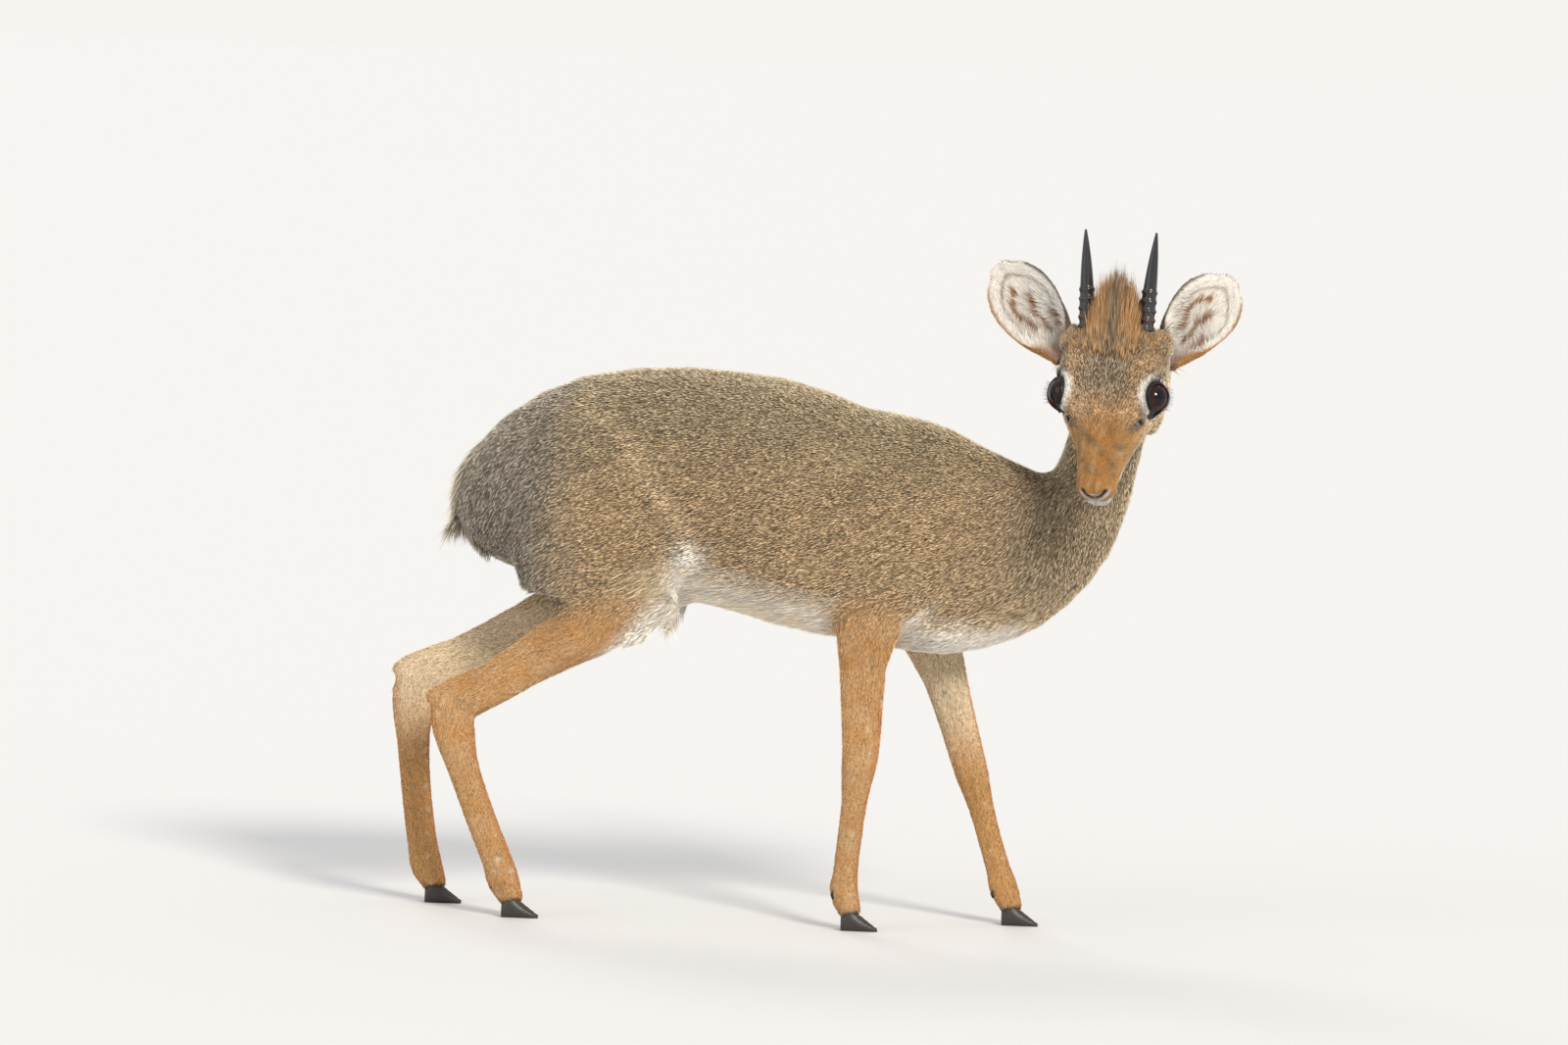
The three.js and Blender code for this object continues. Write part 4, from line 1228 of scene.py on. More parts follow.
def hair_material(name):
    made, nodes, links, shader = shader_nodes(name)
    tip = read_attribute(nodes, "tip", "Fac")
    shade = read_attribute(nodes, "shade", "Fac")
    grizzle = read_attribute(nodes, "grizzle", "Fac")
    banded = ramp_node(nodes, [(0.0, 0.2), (0.3, 0.34), (0.55, 1.15), (0.82, 0.9), (1.0, 0.16)])
    even = ramp_node(nodes, [(0.0, 0.42), (0.5, 0.62), (1.0, 0.74)])
    links.new(tip, banded.inputs[0])
    links.new(tip, even.inputs[0])
    mixed = nodes.new("ShaderNodeMix")
    links.new(grizzle, mixed.inputs["Factor"])
    links.new(even.outputs[0], mixed.inputs["A"])
    links.new(banded.outputs[0], mixed.inputs["B"])
    contrast = maths_node(nodes, links, "MULTIPLY_ADD", grizzle, 1.2)
    spread = maths_node(nodes, links, "MULTIPLY", shade, contrast)
    spread = maths_node(nodes, links, "ADD", spread, 1.0)
    brightness = maths_node(nodes, links, "MULTIPLY", mixed.outputs[0], spread)
    brightness = maths_node(nodes, links, "MULTIPLY", brightness, 1.5)
    band = ramp_node(nodes, [(0.0, 0.0), (0.4, 0.05), (0.6, 1.0), (0.85, 0.8), (1.0, 0.1)])
    links.new(tip, band.inputs[0])
    band_strength = maths_node(nodes, links, "MULTIPLY", grizzle, 0.42)
    paler = maths_node(nodes, links, "MULTIPLY", band.outputs[0], band_strength)
    tinted = nodes.new("ShaderNodeMix")
    tinted.data_type = "RGBA"
    links.new(paler, tinted.inputs[0])
    links.new(read_attribute(nodes, "coat", "Color"), tinted.inputs[6])
    tinted.inputs[7].default_value = (*PALE_BAND, 1)
    brighten(nodes, links, shader, tinted.outputs[2], brightness)
    shader.inputs["Roughness"].default_value = 0.62
    shader.inputs["Specular IOR Level"].default_value = 0.3
    shader.inputs["Sheen Weight"].default_value = 0.1
    return made


def skin_material(name, hair_size):
    made, nodes, links, shader = shader_nodes(name)
    fine = fine_noise(nodes, links, hair_size, 4)
    brightness = maths_node(nodes, links, "MULTIPLY_ADD", fine, 0.7)
    brighten(nodes, links, shader, read_attribute(nodes, "coat", "Color"), brightness)
    raise_surface(nodes, links, shader, fine, 0.5, 0.6 * MM)
    shader.inputs["Roughness"].default_value = 0.66
    return made


HAIR = hair_material("hair")
BODY_SKIN = skin_material("skin_under_hair", 0.002)
HEAD_SKIN = skin_material("skin_of_the_face", 0.0012)
body_skin.data.materials.append(BODY_SKIN)
head_skin.data.materials.append(HEAD_SKIN)

# %% [markdown]
# ## Laying the coat
# The body is combed in pieces, one for each part of it, because no piece may grow too heavy. Shares fade
# into each other at the borders, so that no seam shows. Short hair is a tapered sliver of four triangles.

# %% Short coat of the body
SLIVER = tuft_template("sliver", [(0.0, 1.0, 0.0)])
x, y, z = body_place.T
legs, _ = leg_flow(body_place)
HEAD_BOX_MIDDLE, HEAD_BOX_HALF = np.array([-4, 0, -6]), np.array([50, 26, 22])
past_head_box = np.abs(drawing_to_head(body_place) - HEAD_BOX_MIDDLE) - HEAD_BOX_HALF
outside_head = smooth(0.0, 4.0, np.linalg.norm(np.maximum(past_head_box, 0), axis=1))
above_hooves = np.where(z > 5.0, 1.0, 0.0)
open_skin = above_hooves * outside_head
trunk = (1 - legs) * open_skin
past_rump, past_loin = smooth(-112, -96, x), smooth(-8, 8, x)
past_ribs, past_shoulder = smooth(88, 104, x), smooth(182, 196, x)
regions = {
    "rump": trunk * (1 - past_rump),
    "loin": trunk * past_rump * (1 - past_loin),
    "ribs": trunk * past_loin * (1 - past_ribs),
    "shoulder": trunk * past_ribs * (1 - past_shoulder),
    "neck": trunk * past_shoulder,
    "hind_legs": legs * open_skin * (x < 0),
    "fore_legs": legs * open_skin * (x >= 0),
}
COUNTS = {"rump": 32000, "loin": 36000, "ribs": 36000, "shoulder": 32000, "neck": 32000,
          "hind_legs": 32000, "fore_legs": 22000}
coat_pieces = []
for index, (region, share) in enumerate(regions.items()):
    on_legs = "legs" in region
    wide = 0.45 * MM if on_legs else 0.56 * MM
    piece = lay_coat("coat_" + region, body_skin, share, COUNTS[region], wide, SLIVER, HAIR, 31 + index)
    coat_pieces.append((piece, "coat_tan" if on_legs else "coat_grey"))

# %% Short coat of the head
HEAD_COUNT, HEAD_STRAY = 33000, 0.09
x, y, z = head_spot.T
hairy = np.clip(1 - 1.4 * bare, 0, 1)
inside_neck = (x < -40) & (z < -14)
hairy = hairy * np.where(inside_neck, 0.35, 1.0)
face = smooth(8, 14, x)
denser_at_nose = 1 + x / 60
for region, share, wide, seed in (("face", hairy * face * denser_at_nose, 0.34, 51),
                                  ("crown", hairy * (1 - face), 0.5, 52)):
    piece = lay_coat("coat_" + region, head_skin, share, HEAD_COUNT, wide * MM, SLIVER, HAIR,
                     seed, HEAD_STRAY)
    coat_pieces.append((piece, "coat_face"))

# %% [markdown]
# ## Eyes, lids' rims and lashes
# The eye is almost black, with a dark red-brown iris and a pupil that lies level. It could be two shells,
# a coloured one below a clear one, but from outside a fine ball with a slightly raised front and a wet
# gloss looks the same and bakes well, so its colours are an attribute. The rim of the lids is a thin wet
# black cord along the almond, and the lashes are long and black and fan outwards.

# %% Eyes
def eye_material():
    made, nodes, links, shader = shader_nodes("wet_eye")
    links.new(read_attribute(nodes, "iris", "Color"), shader.inputs["Base Color"])
    shader.inputs["Roughness"].default_value = 0.09
    shader.inputs["Specular IOR Level"].default_value = 0.22
    shader.inputs["Coat Weight"].default_value = 0.25
    shader.inputs["Coat Roughness"].default_value = 0.02
    return made


def gloss_material(name, color, roughness, grain=0.0008):
    """A smooth dark surface with a fine uneven grain."""
    made, nodes, links, shader = shader_nodes(name)
    fine = fine_noise(nodes, links, grain, 3)
    tint = nodes.new("ShaderNodeValToRGB")
    tint.color_ramp.elements[0].color = (*(np.array(color) * 0.6), 1)
    tint.color_ramp.elements[1].color = (*(np.array(color) * 1.7), 1)
    links.new(fine, tint.inputs[0])
    links.new(tint.outputs[0], shader.inputs["Base Color"])
    raise_surface(nodes, links, shader, fine, 0.25, 0.3 * MM)
    shader.inputs["Roughness"].default_value = roughness
    return made


WET_EYE = eye_material()
WET_BLACK = gloss_material("wet_black_skin", (0.012, 0.010, 0.010), 0.28)
LASH_BLACK = gloss_material("black_hair", (0.008, 0.006, 0.006), 0.45)
SIDES = (("right", -1), ("left", 1))
CORNEA_RISE, IRIS_RAYS, PUPIL_HALF = 0.55, 36, (7.2, 5.2)
ready_pieces = []


def ready(piece, material, slot, *nodes_replaced):
    """Gives a piece its material and keeps it for the last step, with the nodes whose place it takes."""
    piece.data.materials.append(material)
    ready_pieces.append((piece, slot, nodes_replaced))


for word, side in SIDES:
    ball, faces = ball_parts((EYE_RADIUS,) * 3, (0, 0, 0), 96)
    cornea = bump(np.linalg.norm(ball[:, :2], axis=1), 7.5) * (ball[:, 2] > 0)
    ball = ball + unit(ball) * CORNEA_RISE * cornea[:, None]
    eye = head_object("globe_" + word, (from_eye(ball, side), faces))
    forward, high, outward = ball.T
    from_middle = np.hypot(forward, high)
    rays = 0.5 + 0.5 * np.sin(np.arctan2(high, forward) * IRIS_RAYS)
    lit_below = 0.5 + 0.9 * smooth(3, -8, high)
    iris = IRIS_BROWN * (0.55 + 0.45 * rays[:, None]) * lit_below[:, None]
    pupil = 1 - smooth(0.85, 1.0, np.hypot(forward / PUPIL_HALF[0], high / PUPIL_HALF[1]))
    shown = over(iris, BLACK * 0.25, pupil)
    shown = over(shown, BLACK * 0.5, np.maximum(smooth(8.6, 9.6, from_middle), outward < 0))
    put(eye, "iris", "FLOAT_COLOR", shown)
    ready(eye, WET_EYE, "eye", "eye_" + word)


def tube_parts(path, radius, around=8, closed=False):
    """A round cord along a path of points; radius is a number or one for each point."""
    path = np.asarray(path, float)
    radius = np.broadcast_to(radius, (len(path),))
    ahead = np.roll(path, -1, 0) if closed else np.concatenate([path[1:], path[-1:]])
    behind = np.roll(path, 1, 0) if closed else np.concatenate([path[:1], path[:-1]])
    way = unit(ahead - behind)
    side = unit(np.cross(way, [0.31, 0.22, 0.92]))
    up = np.cross(side, way)
    rings = [oval(c, s, u, r, r, r, around) for c, s, u, r in zip(path, side, up, radius)]
    if not closed:
        return loft_parts(rings)
    faces = []
    for r in range(len(rings)):
        faces += ring_band(r * around, (r + 1) % len(rings) * around, around)
    return np.concatenate(rings), faces


def on_lid_ball(flat, radius):
    """Places over the eye's ball for points of the almond."""
    far = np.linalg.norm(flat, axis=1)
    least_depth = 3.0
    return np.column_stack([flat, np.sqrt(np.maximum(radius ** 2 - far ** 2, least_depth ** 2))])


def recalculated(thing):
    """Makes every face of a closed mesh point outwards."""
    mesh = bmesh.new()
    mesh.from_mesh(thing.data)
    bmesh.ops.recalc_face_normals(mesh, faces=mesh.faces)
    mesh.to_mesh(thing.data)
    mesh.free()
    return thing


# %% Lids' rims and lashes
RIM_RADIUS = 0.75
LASH_STEPS, LASH_RADII = (0, 0.35, 0.7, 1.0), np.array([0.16, 0.13, 0.08, 0.02])
LASHES_PER_ROOT = 3


def lash_parts(corner, side, pick):
    """One lash rooted at a corner of the almond, long above the eye and short below."""
    upper = corner[1] > 0
    root = on_lid_ball(corner[None] * (1.0 + 0.05 * pick.random()), LID_BALL + 0.1)[0]
    fan = np.array([corner[0] * 0.10 - 0.35, 1.0 if upper else -0.7, 0.9])
    fan = unit(fan + pick.normal(0, 0.16, 3))
    length = (5.5 + 4.5 * pick.random()) if upper else (2.5 + 2 * pick.random())
    curl = np.array([0, 0.22 if upper else -0.1, 0.05])
    path = [root + fan * length * t + curl * length * t * t for t in LASH_STEPS]
    return tube_parts(from_eye(np.array(path), side), LASH_RADII, 3)


upper_roots = [corner for corner in ALMOND if corner[1] > 1.5 and corner[0] < 11.5]
lower_roots = [corner for corner in ALMOND if corner[1] < -5 and corner[0] < 6]
for word, side in SIDES:
    rim = from_eye(on_lid_ball(ALMOND, LID_BALL - 0.15), side)
    lid = head_object("lid_rim_" + word, tube_parts(rim, RIM_RADIUS, 10, closed=True))
    ready(recalculated(lid), WET_BLACK, "eye")
    pick = np.random.default_rng(7 + side)
    roots = upper_roots * LASHES_PER_ROOT + lower_roots
    fan = join_parts([lash_parts(root, side, pick) for root in roots])
    lashes = head_object("lashes_" + word, fan, False)
    ready(recalculated(lashes), LASH_BLACK, "coat_face")
    print("eye, rim and", len(roots), "lashes made on the", word)

# %% [markdown]
# ## Horns
# A dik-dik's horns are short straight spikes, ringed and rough at the base where they grow, and polished
# smooth towards the point. Each is one loft whose rings swell where a growth ring is.

# %% Horns
HORN_PLACE = np.array([-42.0, 20.0, 10.0])
HORN_LEAN = np.array([-0.83, 0.07, 0.55])
HORN_LENGTH, HORN_RADIUS, HORN_RINGS, HORN_BEND = 78.0, 6.4, 6, 3.2
HORN_STEPS, HORN_AROUND = 150, 40


def horn_material():
    made, nodes, links, shader = shader_nodes("polished_horn")
    coordinates = nodes.new("ShaderNodeTexCoord").outputs["Object"]
    painted_flank_highlight_and_horn_streak = nodes.new("ShaderNodeTexNoise")
    painted_flank_highlight_and_horn_streak.inputs["Scale"].default_value = 420
    painted_flank_highlight_and_horn_streak.inputs["Detail"].default_value = 5
    stretched = nodes.new("ShaderNodeMapping")
    stretched.inputs["Scale"].default_value = (1, 1, 0.16)
    links.new(coordinates, stretched.inputs["Vector"])
    links.new(stretched.outputs[0], painted_flank_highlight_and_horn_streak.inputs["Vector"])
    tint = ramp_node(nodes, [(0.0, 0.008), (0.5, 0.018), (0.75, 0.05), (1.0, 0.13)])
    tint.color_ramp.elements[2].color = (0.045, 0.030, 0.022, 1)
    tint.color_ramp.elements[3].color = (0.13, 0.09, 0.055, 1)
    age = read_attribute(nodes, "age", "Fac")
    streaks = maths_node(nodes, links, "MULTIPLY", painted_flank_highlight_and_horn_streak.outputs["Fac"], 0.75)
    links.new(maths_node(nodes, links, "ADD", streaks, age), tint.inputs[0])
    links.new(tint.outputs[0], shader.inputs["Base Color"])
    raise_surface(nodes, links, shader, painted_flank_highlight_and_horn_streak.outputs["Fac"], 0.35, 0.4 * MM)
    shader.inputs["Roughness"].default_value = 0.24
    shader.inputs["Coat Weight"].default_value = 0.35
    shader.inputs["Coat Roughness"].default_value = 0.15
    return made


def horn_radius(t):
    """The horn's half width, t from 0 at its root to 1 at its point."""
    ridge = 0.0
    if t < 0.5:
        wave = 0.5 - 0.5 * math.cos(t * 2 * HORN_RINGS * 2 * math.pi)
        ridge = 0.2 * wave ** 2 * (1 - 0.7 * t)
    return HORN_RADIUS * (1 - 0.28 * t - 0.6 * t ** 3.2 + ridge)


def horn_age(t):
    """How old and pale the horn looks, most at its root."""
    return 0.30 * float(1 - smooth(0.15, 0.55, t)) - 0.12 * float(smooth(0.5, 0.9, t))


POLISHED_HORN = horn_material()
for word, side in SIDES:
    lean = unit(HORN_LEAN * np.array([1, side, 1]))
    front = unit(np.array([HORN_LEAN[2], 0, -HORN_LEAN[0]]))
    across = np.cross(front, lean)
    rings, ages = [], []
    angle = np.linspace(0, 2 * math.pi, HORN_AROUND, endpoint=False)
    for step in range(HORN_STEPS + 1):
        t = step / HORN_STEPS
        centre = HORN_PLACE * np.array([1, side, 1]) + lean * HORN_LENGTH * t + front * HORN_BEND * t * t
        rough = np.array([noise.noise(Vector((math.cos(a) * 3, math.sin(a) * 3, t * 60 + 9 * side)))
                          for a in angle])
        wide = horn_radius(t) + 0.22 * rough * (1 - smooth(0.4, 0.6, t))
        ring = np.outer(np.cos(angle) * wide * 0.94, across)
        rings.append(centre + ring + np.outer(np.sin(angle) * wide, front))
        ages += [horn_age(t)] * HORN_AROUND
    horn = recalculated(head_object("ringed_horn_" + word, loft_parts(rings)))
    put(horn, "age", "FLOAT", np.array(ages + [0.3, -0.1]))
    ready(horn, POLISHED_HORN, "horn", "horn_" + word)
print("horns made with", HORN_RINGS, "rings each")

# %% [markdown]
# ## Ears
# An ear is a thin cupped leaf. Its back is orange-brown with a dark upper edge; its hollow is white
# haired, with long soft folds of brown skin between the rows of hair. The leaf is a fine grid with an
# even wall, the folds are pressed into its inner side, and long white tufts cross them.

# %% Ear leaves
EAR_PLACE = np.array([-34.0, 35.0, 0.0])
EAR_LENGTH, EAR_WALL = 92.0, 1.5
EAR_WAYS = {
    "right": ([-0.73, -0.655, 0.14], [0.55, 0.1, 0.82]),
    "left": ([-0.915, 0.385, -0.11], [0.55, 0.16, 0.82]),
}
EAR_HALF_AND_ARC = [[9.5, 128], [14, 118], [19, 98], [22, 80], [23.6, 66], [23.6, 56], [21.2, 46],
                    [15.5, 36], [3, 26]]
EAR_GRID = (96, 60)
ROUND_TIP = 0.94
FOLDS = [
    [(0.36, -0.34), (0.48, -0.46), (0.62, -0.38), (0.74, -0.12)],
    [(0.28, 0.02), (0.38, 0.14), (0.50, 0.12)],
    [(0.16, 0.34), (0.24, 0.50), (0.34, 0.52)],
    [(0.50, 0.14), (0.60, 0.20)],
]


def fold_depth(t, a):
    """How deep the hollows are at a place of the leaf: t along it, a across it from -1 to 1."""
    depth = np.zeros_like(t)
    for fold in FOLDS:
        line = np.array(fold)
        best = np.full(t.shape, 9.0)
        for p, q in zip(line[:-1], line[1:]):
            d = (q - p) * [1.9, 1.0]
            rel = np.stack([(t - p[0]) * 1.9, a - p[1]], -1)
            f = np.clip(rel @ d / (d @ d), 0, 1)
            best = np.minimum(best, np.linalg.norm(rel - f[..., None] * d, axis=-1))
        depth = np.maximum(depth, bump(best, 0.085 + 0.03 * np.sin(t * 31 + a * 17)))
    return depth


def ear_row(t):
    """Half width and arc of the leaf at t, rounded off at its tip."""
    half, degrees = along(EAR_HALF_AND_ARC, t)
    if t > ROUND_TIP:
        part = (t - ROUND_TIP) / 0.0605
        half = along(EAR_HALF_AND_ARC, ROUND_TIP)[0] * math.sqrt(max(1 - part ** 2, 0.0)) + 0.4
    return half, math.radians(degrees)


def leaf_faces(rows, columns):
    """Both walls of the leaf and the strips that close its edges."""
    wide = columns + 1
    other = (rows + 1) * wide
    faces = []
    for r in range(rows):
        for c in range(columns):
            p = r * wide + c
            faces.append((p, p + 1, p + 1 + wide, p + wide))
            faces.append((other + p, other + p + wide, other + p + 1 + wide, other + p + 1))
        p = r * wide
        faces.append((p, p + wide, other + p + wide, other + p))
        p = r * wide + columns
        faces.append((p, other + p, other + p + wide, p + wide))
    for c in range(columns):
        p = rows * wide + c
        faces.append((c + 1, c, other + c, other + c + 1))
        faces.append((p, p + 1, other + p + 1, other + p))
    return faces


def ear_leaf(word, side):
    """The leaf, its axes, and for each point: t, the place across, the wall and the fold's depth."""
    axis, face = (np.array(v) for v in EAR_WAYS[word])
    axis = unit(axis)
    face = unit(face - axis * (face @ axis))
    across = np.cross(axis, face)
    rows, columns = EAR_GRID
    walls, tells = [], []
    for inner_side in (False, True):
        for r in range(rows + 1):
            t = r / rows
            half, arc = ear_row(t)
            radius = half / math.sin(min(arc, math.pi / 2))
            sag = radius * (1 - math.cos(arc)) / 2
            middle = EAR_PLACE * [1, side, 1] + axis * t * EAR_LENGTH + face * (radius - sag - 5 * t * t)
            a = np.linspace(-1, 1, columns + 1)
            thin = EAR_WALL * (1 - smooth(0.8, 1.0, np.abs(a))) * (1 - 0.75 * smooth(0.9, 1.0, t)) + 0.25
            fold = fold_depth(np.full_like(a, t), a)
            ridge = 0.8 * (np.abs(np.sin(a * 9 + t * 5)) - 0.5) * bump(t - 0.45, 0.3)
            relief = (0.5 * ridge - 0.9 * fold + 0.5) * (1 - smooth(0.75, 0.95, np.abs(a)))
            lift = thin + relief if inner_side else 0
            shell = np.maximum(radius - lift, 0.3)
            angle = arc * a
            row = middle + np.outer(shell * np.sin(angle), across)
            walls.append(row - np.outer(shell * np.cos(angle), face))
            tells.append(np.column_stack([np.full_like(a, t), a, np.full_like(a, inner_side), fold]))
    leaf = head_object("ear_leaf_" + word, (np.concatenate(walls), leaf_faces(rows, columns)))
    return recalculated(leaf), np.concatenate(tells), axis, across


# %% The ears' colours and hair
EAR_COUNT, EAR_STRANDS = 14000, 1500
LONG_TUFT = tuft_template("long_tuft", [(0.0, 1.0, 0.0), (0.4, 0.85, 0.15)])


def ear_colour(t, a, top, inner, fold):
    """Orange behind with a dark upper edge, white inside with brown folds and a thin line round them."""
    color = np.tile(FACE_ORANGE, (len(t), 1))
    color = over(color, EAR_UPPER_EDGE, smooth(0.2, 0.75, top))
    color = over(color, GREY_BACK, 0.4 * bump(top, 0.4))
    color = over(color, WHITE * 1.02, inner)
    color = over(color, EAR_FOLD, inner * np.clip(1.4 * fold, 0, 1) * (t < 0.82))
    rim_line = inner * bump(np.hypot(a, (t - 0.5) * 1.9) - 0.70, 0.035) * (t > 0.35)
    color = over(color, EAR_RIM_LINE, 0.75 * rim_line)
    edge_dark = inner * smooth(0.90, 0.99, np.abs(a)) * (t < 0.85)
    color = over(color, np.where((top > 0)[:, None], DARK, FACE_ORANGE), 0.8 * edge_dark)
    return over(color, EAR_DEPTH, inner * (1 - smooth(0.02, 0.2, t)) * 0.7)


for word, side in SIDES:
    leaf, told, axis, across = ear_leaf(word, side)
    t, a, inner, fold = told.T
    inner = inner > 0.5
    top = a * np.sign((across @ HEAD.T)[2])
    color = ear_colour(t, a, top, inner, fold)
    straight = np.tile(axis, (len(t), 1))
    towards_middle = straight - across * (0.5 * a * inner)[:, None]
    swirl = across * (0.9 * np.sin(t * 9 + a * 4) * bump(t - 0.4, 0.3))[:, None]
    lie = np.where(inner[:, None], towards_middle + swirl, straight)
    lie = combed(lie, normals_of(leaf) @ HEAD)
    length = 3.2 + 5.0 * inner * bump(t - 0.38, 0.28) * (1 - smooth(0.6, 0.95, np.abs(a)))
    unwrap(leaf)
    tell_skin(leaf, color, np.where(inner, 0.0, 0.35), lie @ HEAD.T, length, np.where(inner, 0.22, 0.12))
    ready(leaf, HEAD_SKIN, "coat_white", "ear_" + word)
    share = np.where(inner, 1.0 - 0.85 * np.clip(1.3 * fold, 0, 1), 1.0)
    hair = lay_coat("coat_ear_" + word, leaf, share, EAR_COUNT, 0.5 * MM, SLIVER, HAIR, 61 + side, 0.2)
    coat_pieces.append((hair, "coat_white"))
    strands = inner * bump(t - 0.36, 0.2) * bump(a, 0.55) + inner * bump(t - 0.08, 0.1)
    put(leaf, "length", "FLOAT", (8.0 + 4 * bump(t, 0.2)) * MM)
    put(leaf, "lift", "FLOAT", np.full(len(t), 0.55))
    hair = lay_coat("ear_hair_" + word, leaf, strands, EAR_STRANDS, 0.42 * MM, LONG_TUFT, HAIR,
                    71 + side, 0.3)
    coat_pieces.append((hair, "coat_white"))

# %% [markdown]
# ## The crest, the tail and the sheath
# The crown bears an erect crest of long orange hairs with a dark core. The tail is a short stub of dark
# hair with a few loose pale ones, the rump has a fringe below it, and the sheath under the belly ends in
# a white tuft. All are long bent tufts on small patches of the skins, laid by the same tree as the coat
# with another template.

# %% Crest
CREST_TOP, CREST_COUNT, CROWN_COUNT = 84, 4600, 4000
x, y, z = head_spot.T
crown = smooth(-14, -30, x) * smooth(-60, -54, x) * bump(y, 17) * (z > 2)
crown = np.where(np.abs(y) < 17, crown, 0.0)
nod = math.radians(HEAD_NOD)
upright = x * -math.sin(nod) + z * math.cos(nod)
rise = np.clip(CREST_TOP - upright - 0.85 * np.abs(y) - 6 * patchy(head_spot, 5, 12), 8, 50)
front_row = smooth(-42, -18, x)
rise = rise * (1 - 0.78 * front_row) * (1 - 0.3 * smooth(8, 16, np.abs(y)))
lean = np.tile([-0.80, 0.0, 0.60], (len(x), 1)) + np.outer(y / 30, [0, 0.22, 0])
lean += np.outer(front_row, [-0.25, 0, 0.1])
crest_color = np.tile(FACE_ORANGE, (len(x), 1))
crest_color = over(crest_color, FACE_BROWN, 0.6 * np.clip(patchy(head_spot, 4, 13), 0, 1))
crest_color = over(crest_color, DARK, 0.85 * bump(y - 1.0, 3.2))
crest_color = over(crest_color, FACE_BROWN, 0.5 * smooth(-30, -24, x))
tell_skin(head_skin, crest_color, np.full(len(x), 0.6), unit(lean) @ HEAD.T, rise, np.zeros(len(x)))
crest = lay_coat("crest", head_skin, crown, CREST_COUNT, 0.64 * MM, LONG_TUFT, HAIR, 81, 0.09)
coat_pieces.append((crest, "coat_face"))

# %% Hair around the ears' roots and the horns
root_hair = ball_mask(folded, [-40, 29, 9], 12) + ball_mask(folded, [-34, 15, 17], 10)
root_hair = np.where(edge < 3, 0, np.clip(root_hair, 0, 1)) * (x < -20)
aside = np.sign(y) * smooth(14, 30, np.abs(y))
lean = np.column_stack([np.full(len(x), -0.75), 0.35 * aside, np.full(len(x), 0.55)])
ginger = np.clip(0.35 + 0.6 * patchy(head_spot, 7, 14), 0, 1)
root_color = over(np.tile(FACE_BROWN, (len(x), 1)), FACE_ORANGE, ginger)
short_at_ears = 9.0 - 6.0 * smooth(16, 27, np.abs(y))
lift = np.full(len(x), 0.1)
tell_skin(head_skin, root_color, np.full(len(x), 0.7), unit(lean) @ HEAD.T, short_at_ears, lift)
root_tufts = lay_coat("crown_hair", head_skin, root_hair, CROWN_COUNT, 0.5 * MM, LONG_TUFT, HAIR, 83, 0.16)
coat_pieces.append((root_tufts, "coat_face"))
put(head_skin, "coat", "FLOAT_COLOR", head_shown)
put(head_skin, "grizzle", "FLOAT", head_grizzle)

# %% Tail, rump, sheath and belly hair
def long_hair(name, wanted, length, way, off_skin, color, grizzle, count, width, slot, seed, stray):
    """Long tufts where they are wanted; off_skin is how much of the way may stand off the skin."""
    every = len(wanted)
    way = np.broadcast_to(np.asarray(way, float), body_place.shape)
    lie = combed(way, body_normal, 1 - off_skin)
    shown = np.broadcast_to(color, body_place.shape)
    tell_skin(body_skin, shown, np.full(every, grizzle), lie, np.full(every, length), np.full(every, 0.1))
    hair = lay_coat(name, body_skin, wanted, count, width * MM, LONG_TUFT, HAIR, seed, stray)
    coat_pieces.append((hair, slot))


x, y, z = body_place.T
TAIL_LINE = [(-197, 0, 334), (-207, 0, 300), (-207, 0, 284)]
from_tail = distance_to_line(from_the_side(body_place), TAIL_LINE) + 0.8 * np.abs(y)
tail_root = np.where(from_tail < 14, bump(from_tail, 9), 0) * (x < -178)
under_tail = bump(y, 16) * smooth(-176, -198, x) * smooth(240, 262, z) * (1 - smooth(318, 330, z))
sheath = ball_mask(body_place, [-42, 0, 214], 9) * (body_normal[:, 2] < 0.2)
sheath = np.where(sheath > 0.2, sheath, 0)
belly = under_side(body_place)
long_hair("tail_hair", tail_root, 15, (-0.35, 0, -1.0), 0.30, RUMP_GREY * 0.55, 0.9,
          count=1500, width=0.6, slot="coat_grey", seed=91, stray=0.2)
long_hair("tail_tips", tail_root, 21, (-0.55, 0, -1.0), 0.45, CREAM, 0.15,
          count=260, width=0.45, slot="coat_white", seed=92, stray=0.25)
long_hair("rump_fringe", under_tail, 8, (-0.4, 0, -1.0), 0.25, RUMP_GREY * 0.7, 0.8,
          count=2400, width=0.55, slot="coat_grey", seed=93, stray=0.2)
long_hair("sheath_hair", sheath, 13, (-0.2, 0, -1.0), 0.7, WHITE, 0.15,
          count=420, width=0.55, slot="coat_white", seed=94, stray=0.3)
long_hair("belly_hair", belly, 12, (-1, 0, -0.45), 0.12, CREAM, 0.15,
          count=4200, width=0.65, slot="coat_white", seed=95, stray=0.12)
put(body_skin, "coat", "FLOAT_COLOR", body_shown)
put(body_skin, "grizzle", "FLOAT", body_grizzle)

# %% [markdown]
# ## Feet
# Each foot stands on two small pointed claws. They are lofts that fill the boxes of the measured ones,
# flat below, with fine growth lines. Two dew claws hang behind each fetlock as short curved cords that
# taper. All are dark horn.

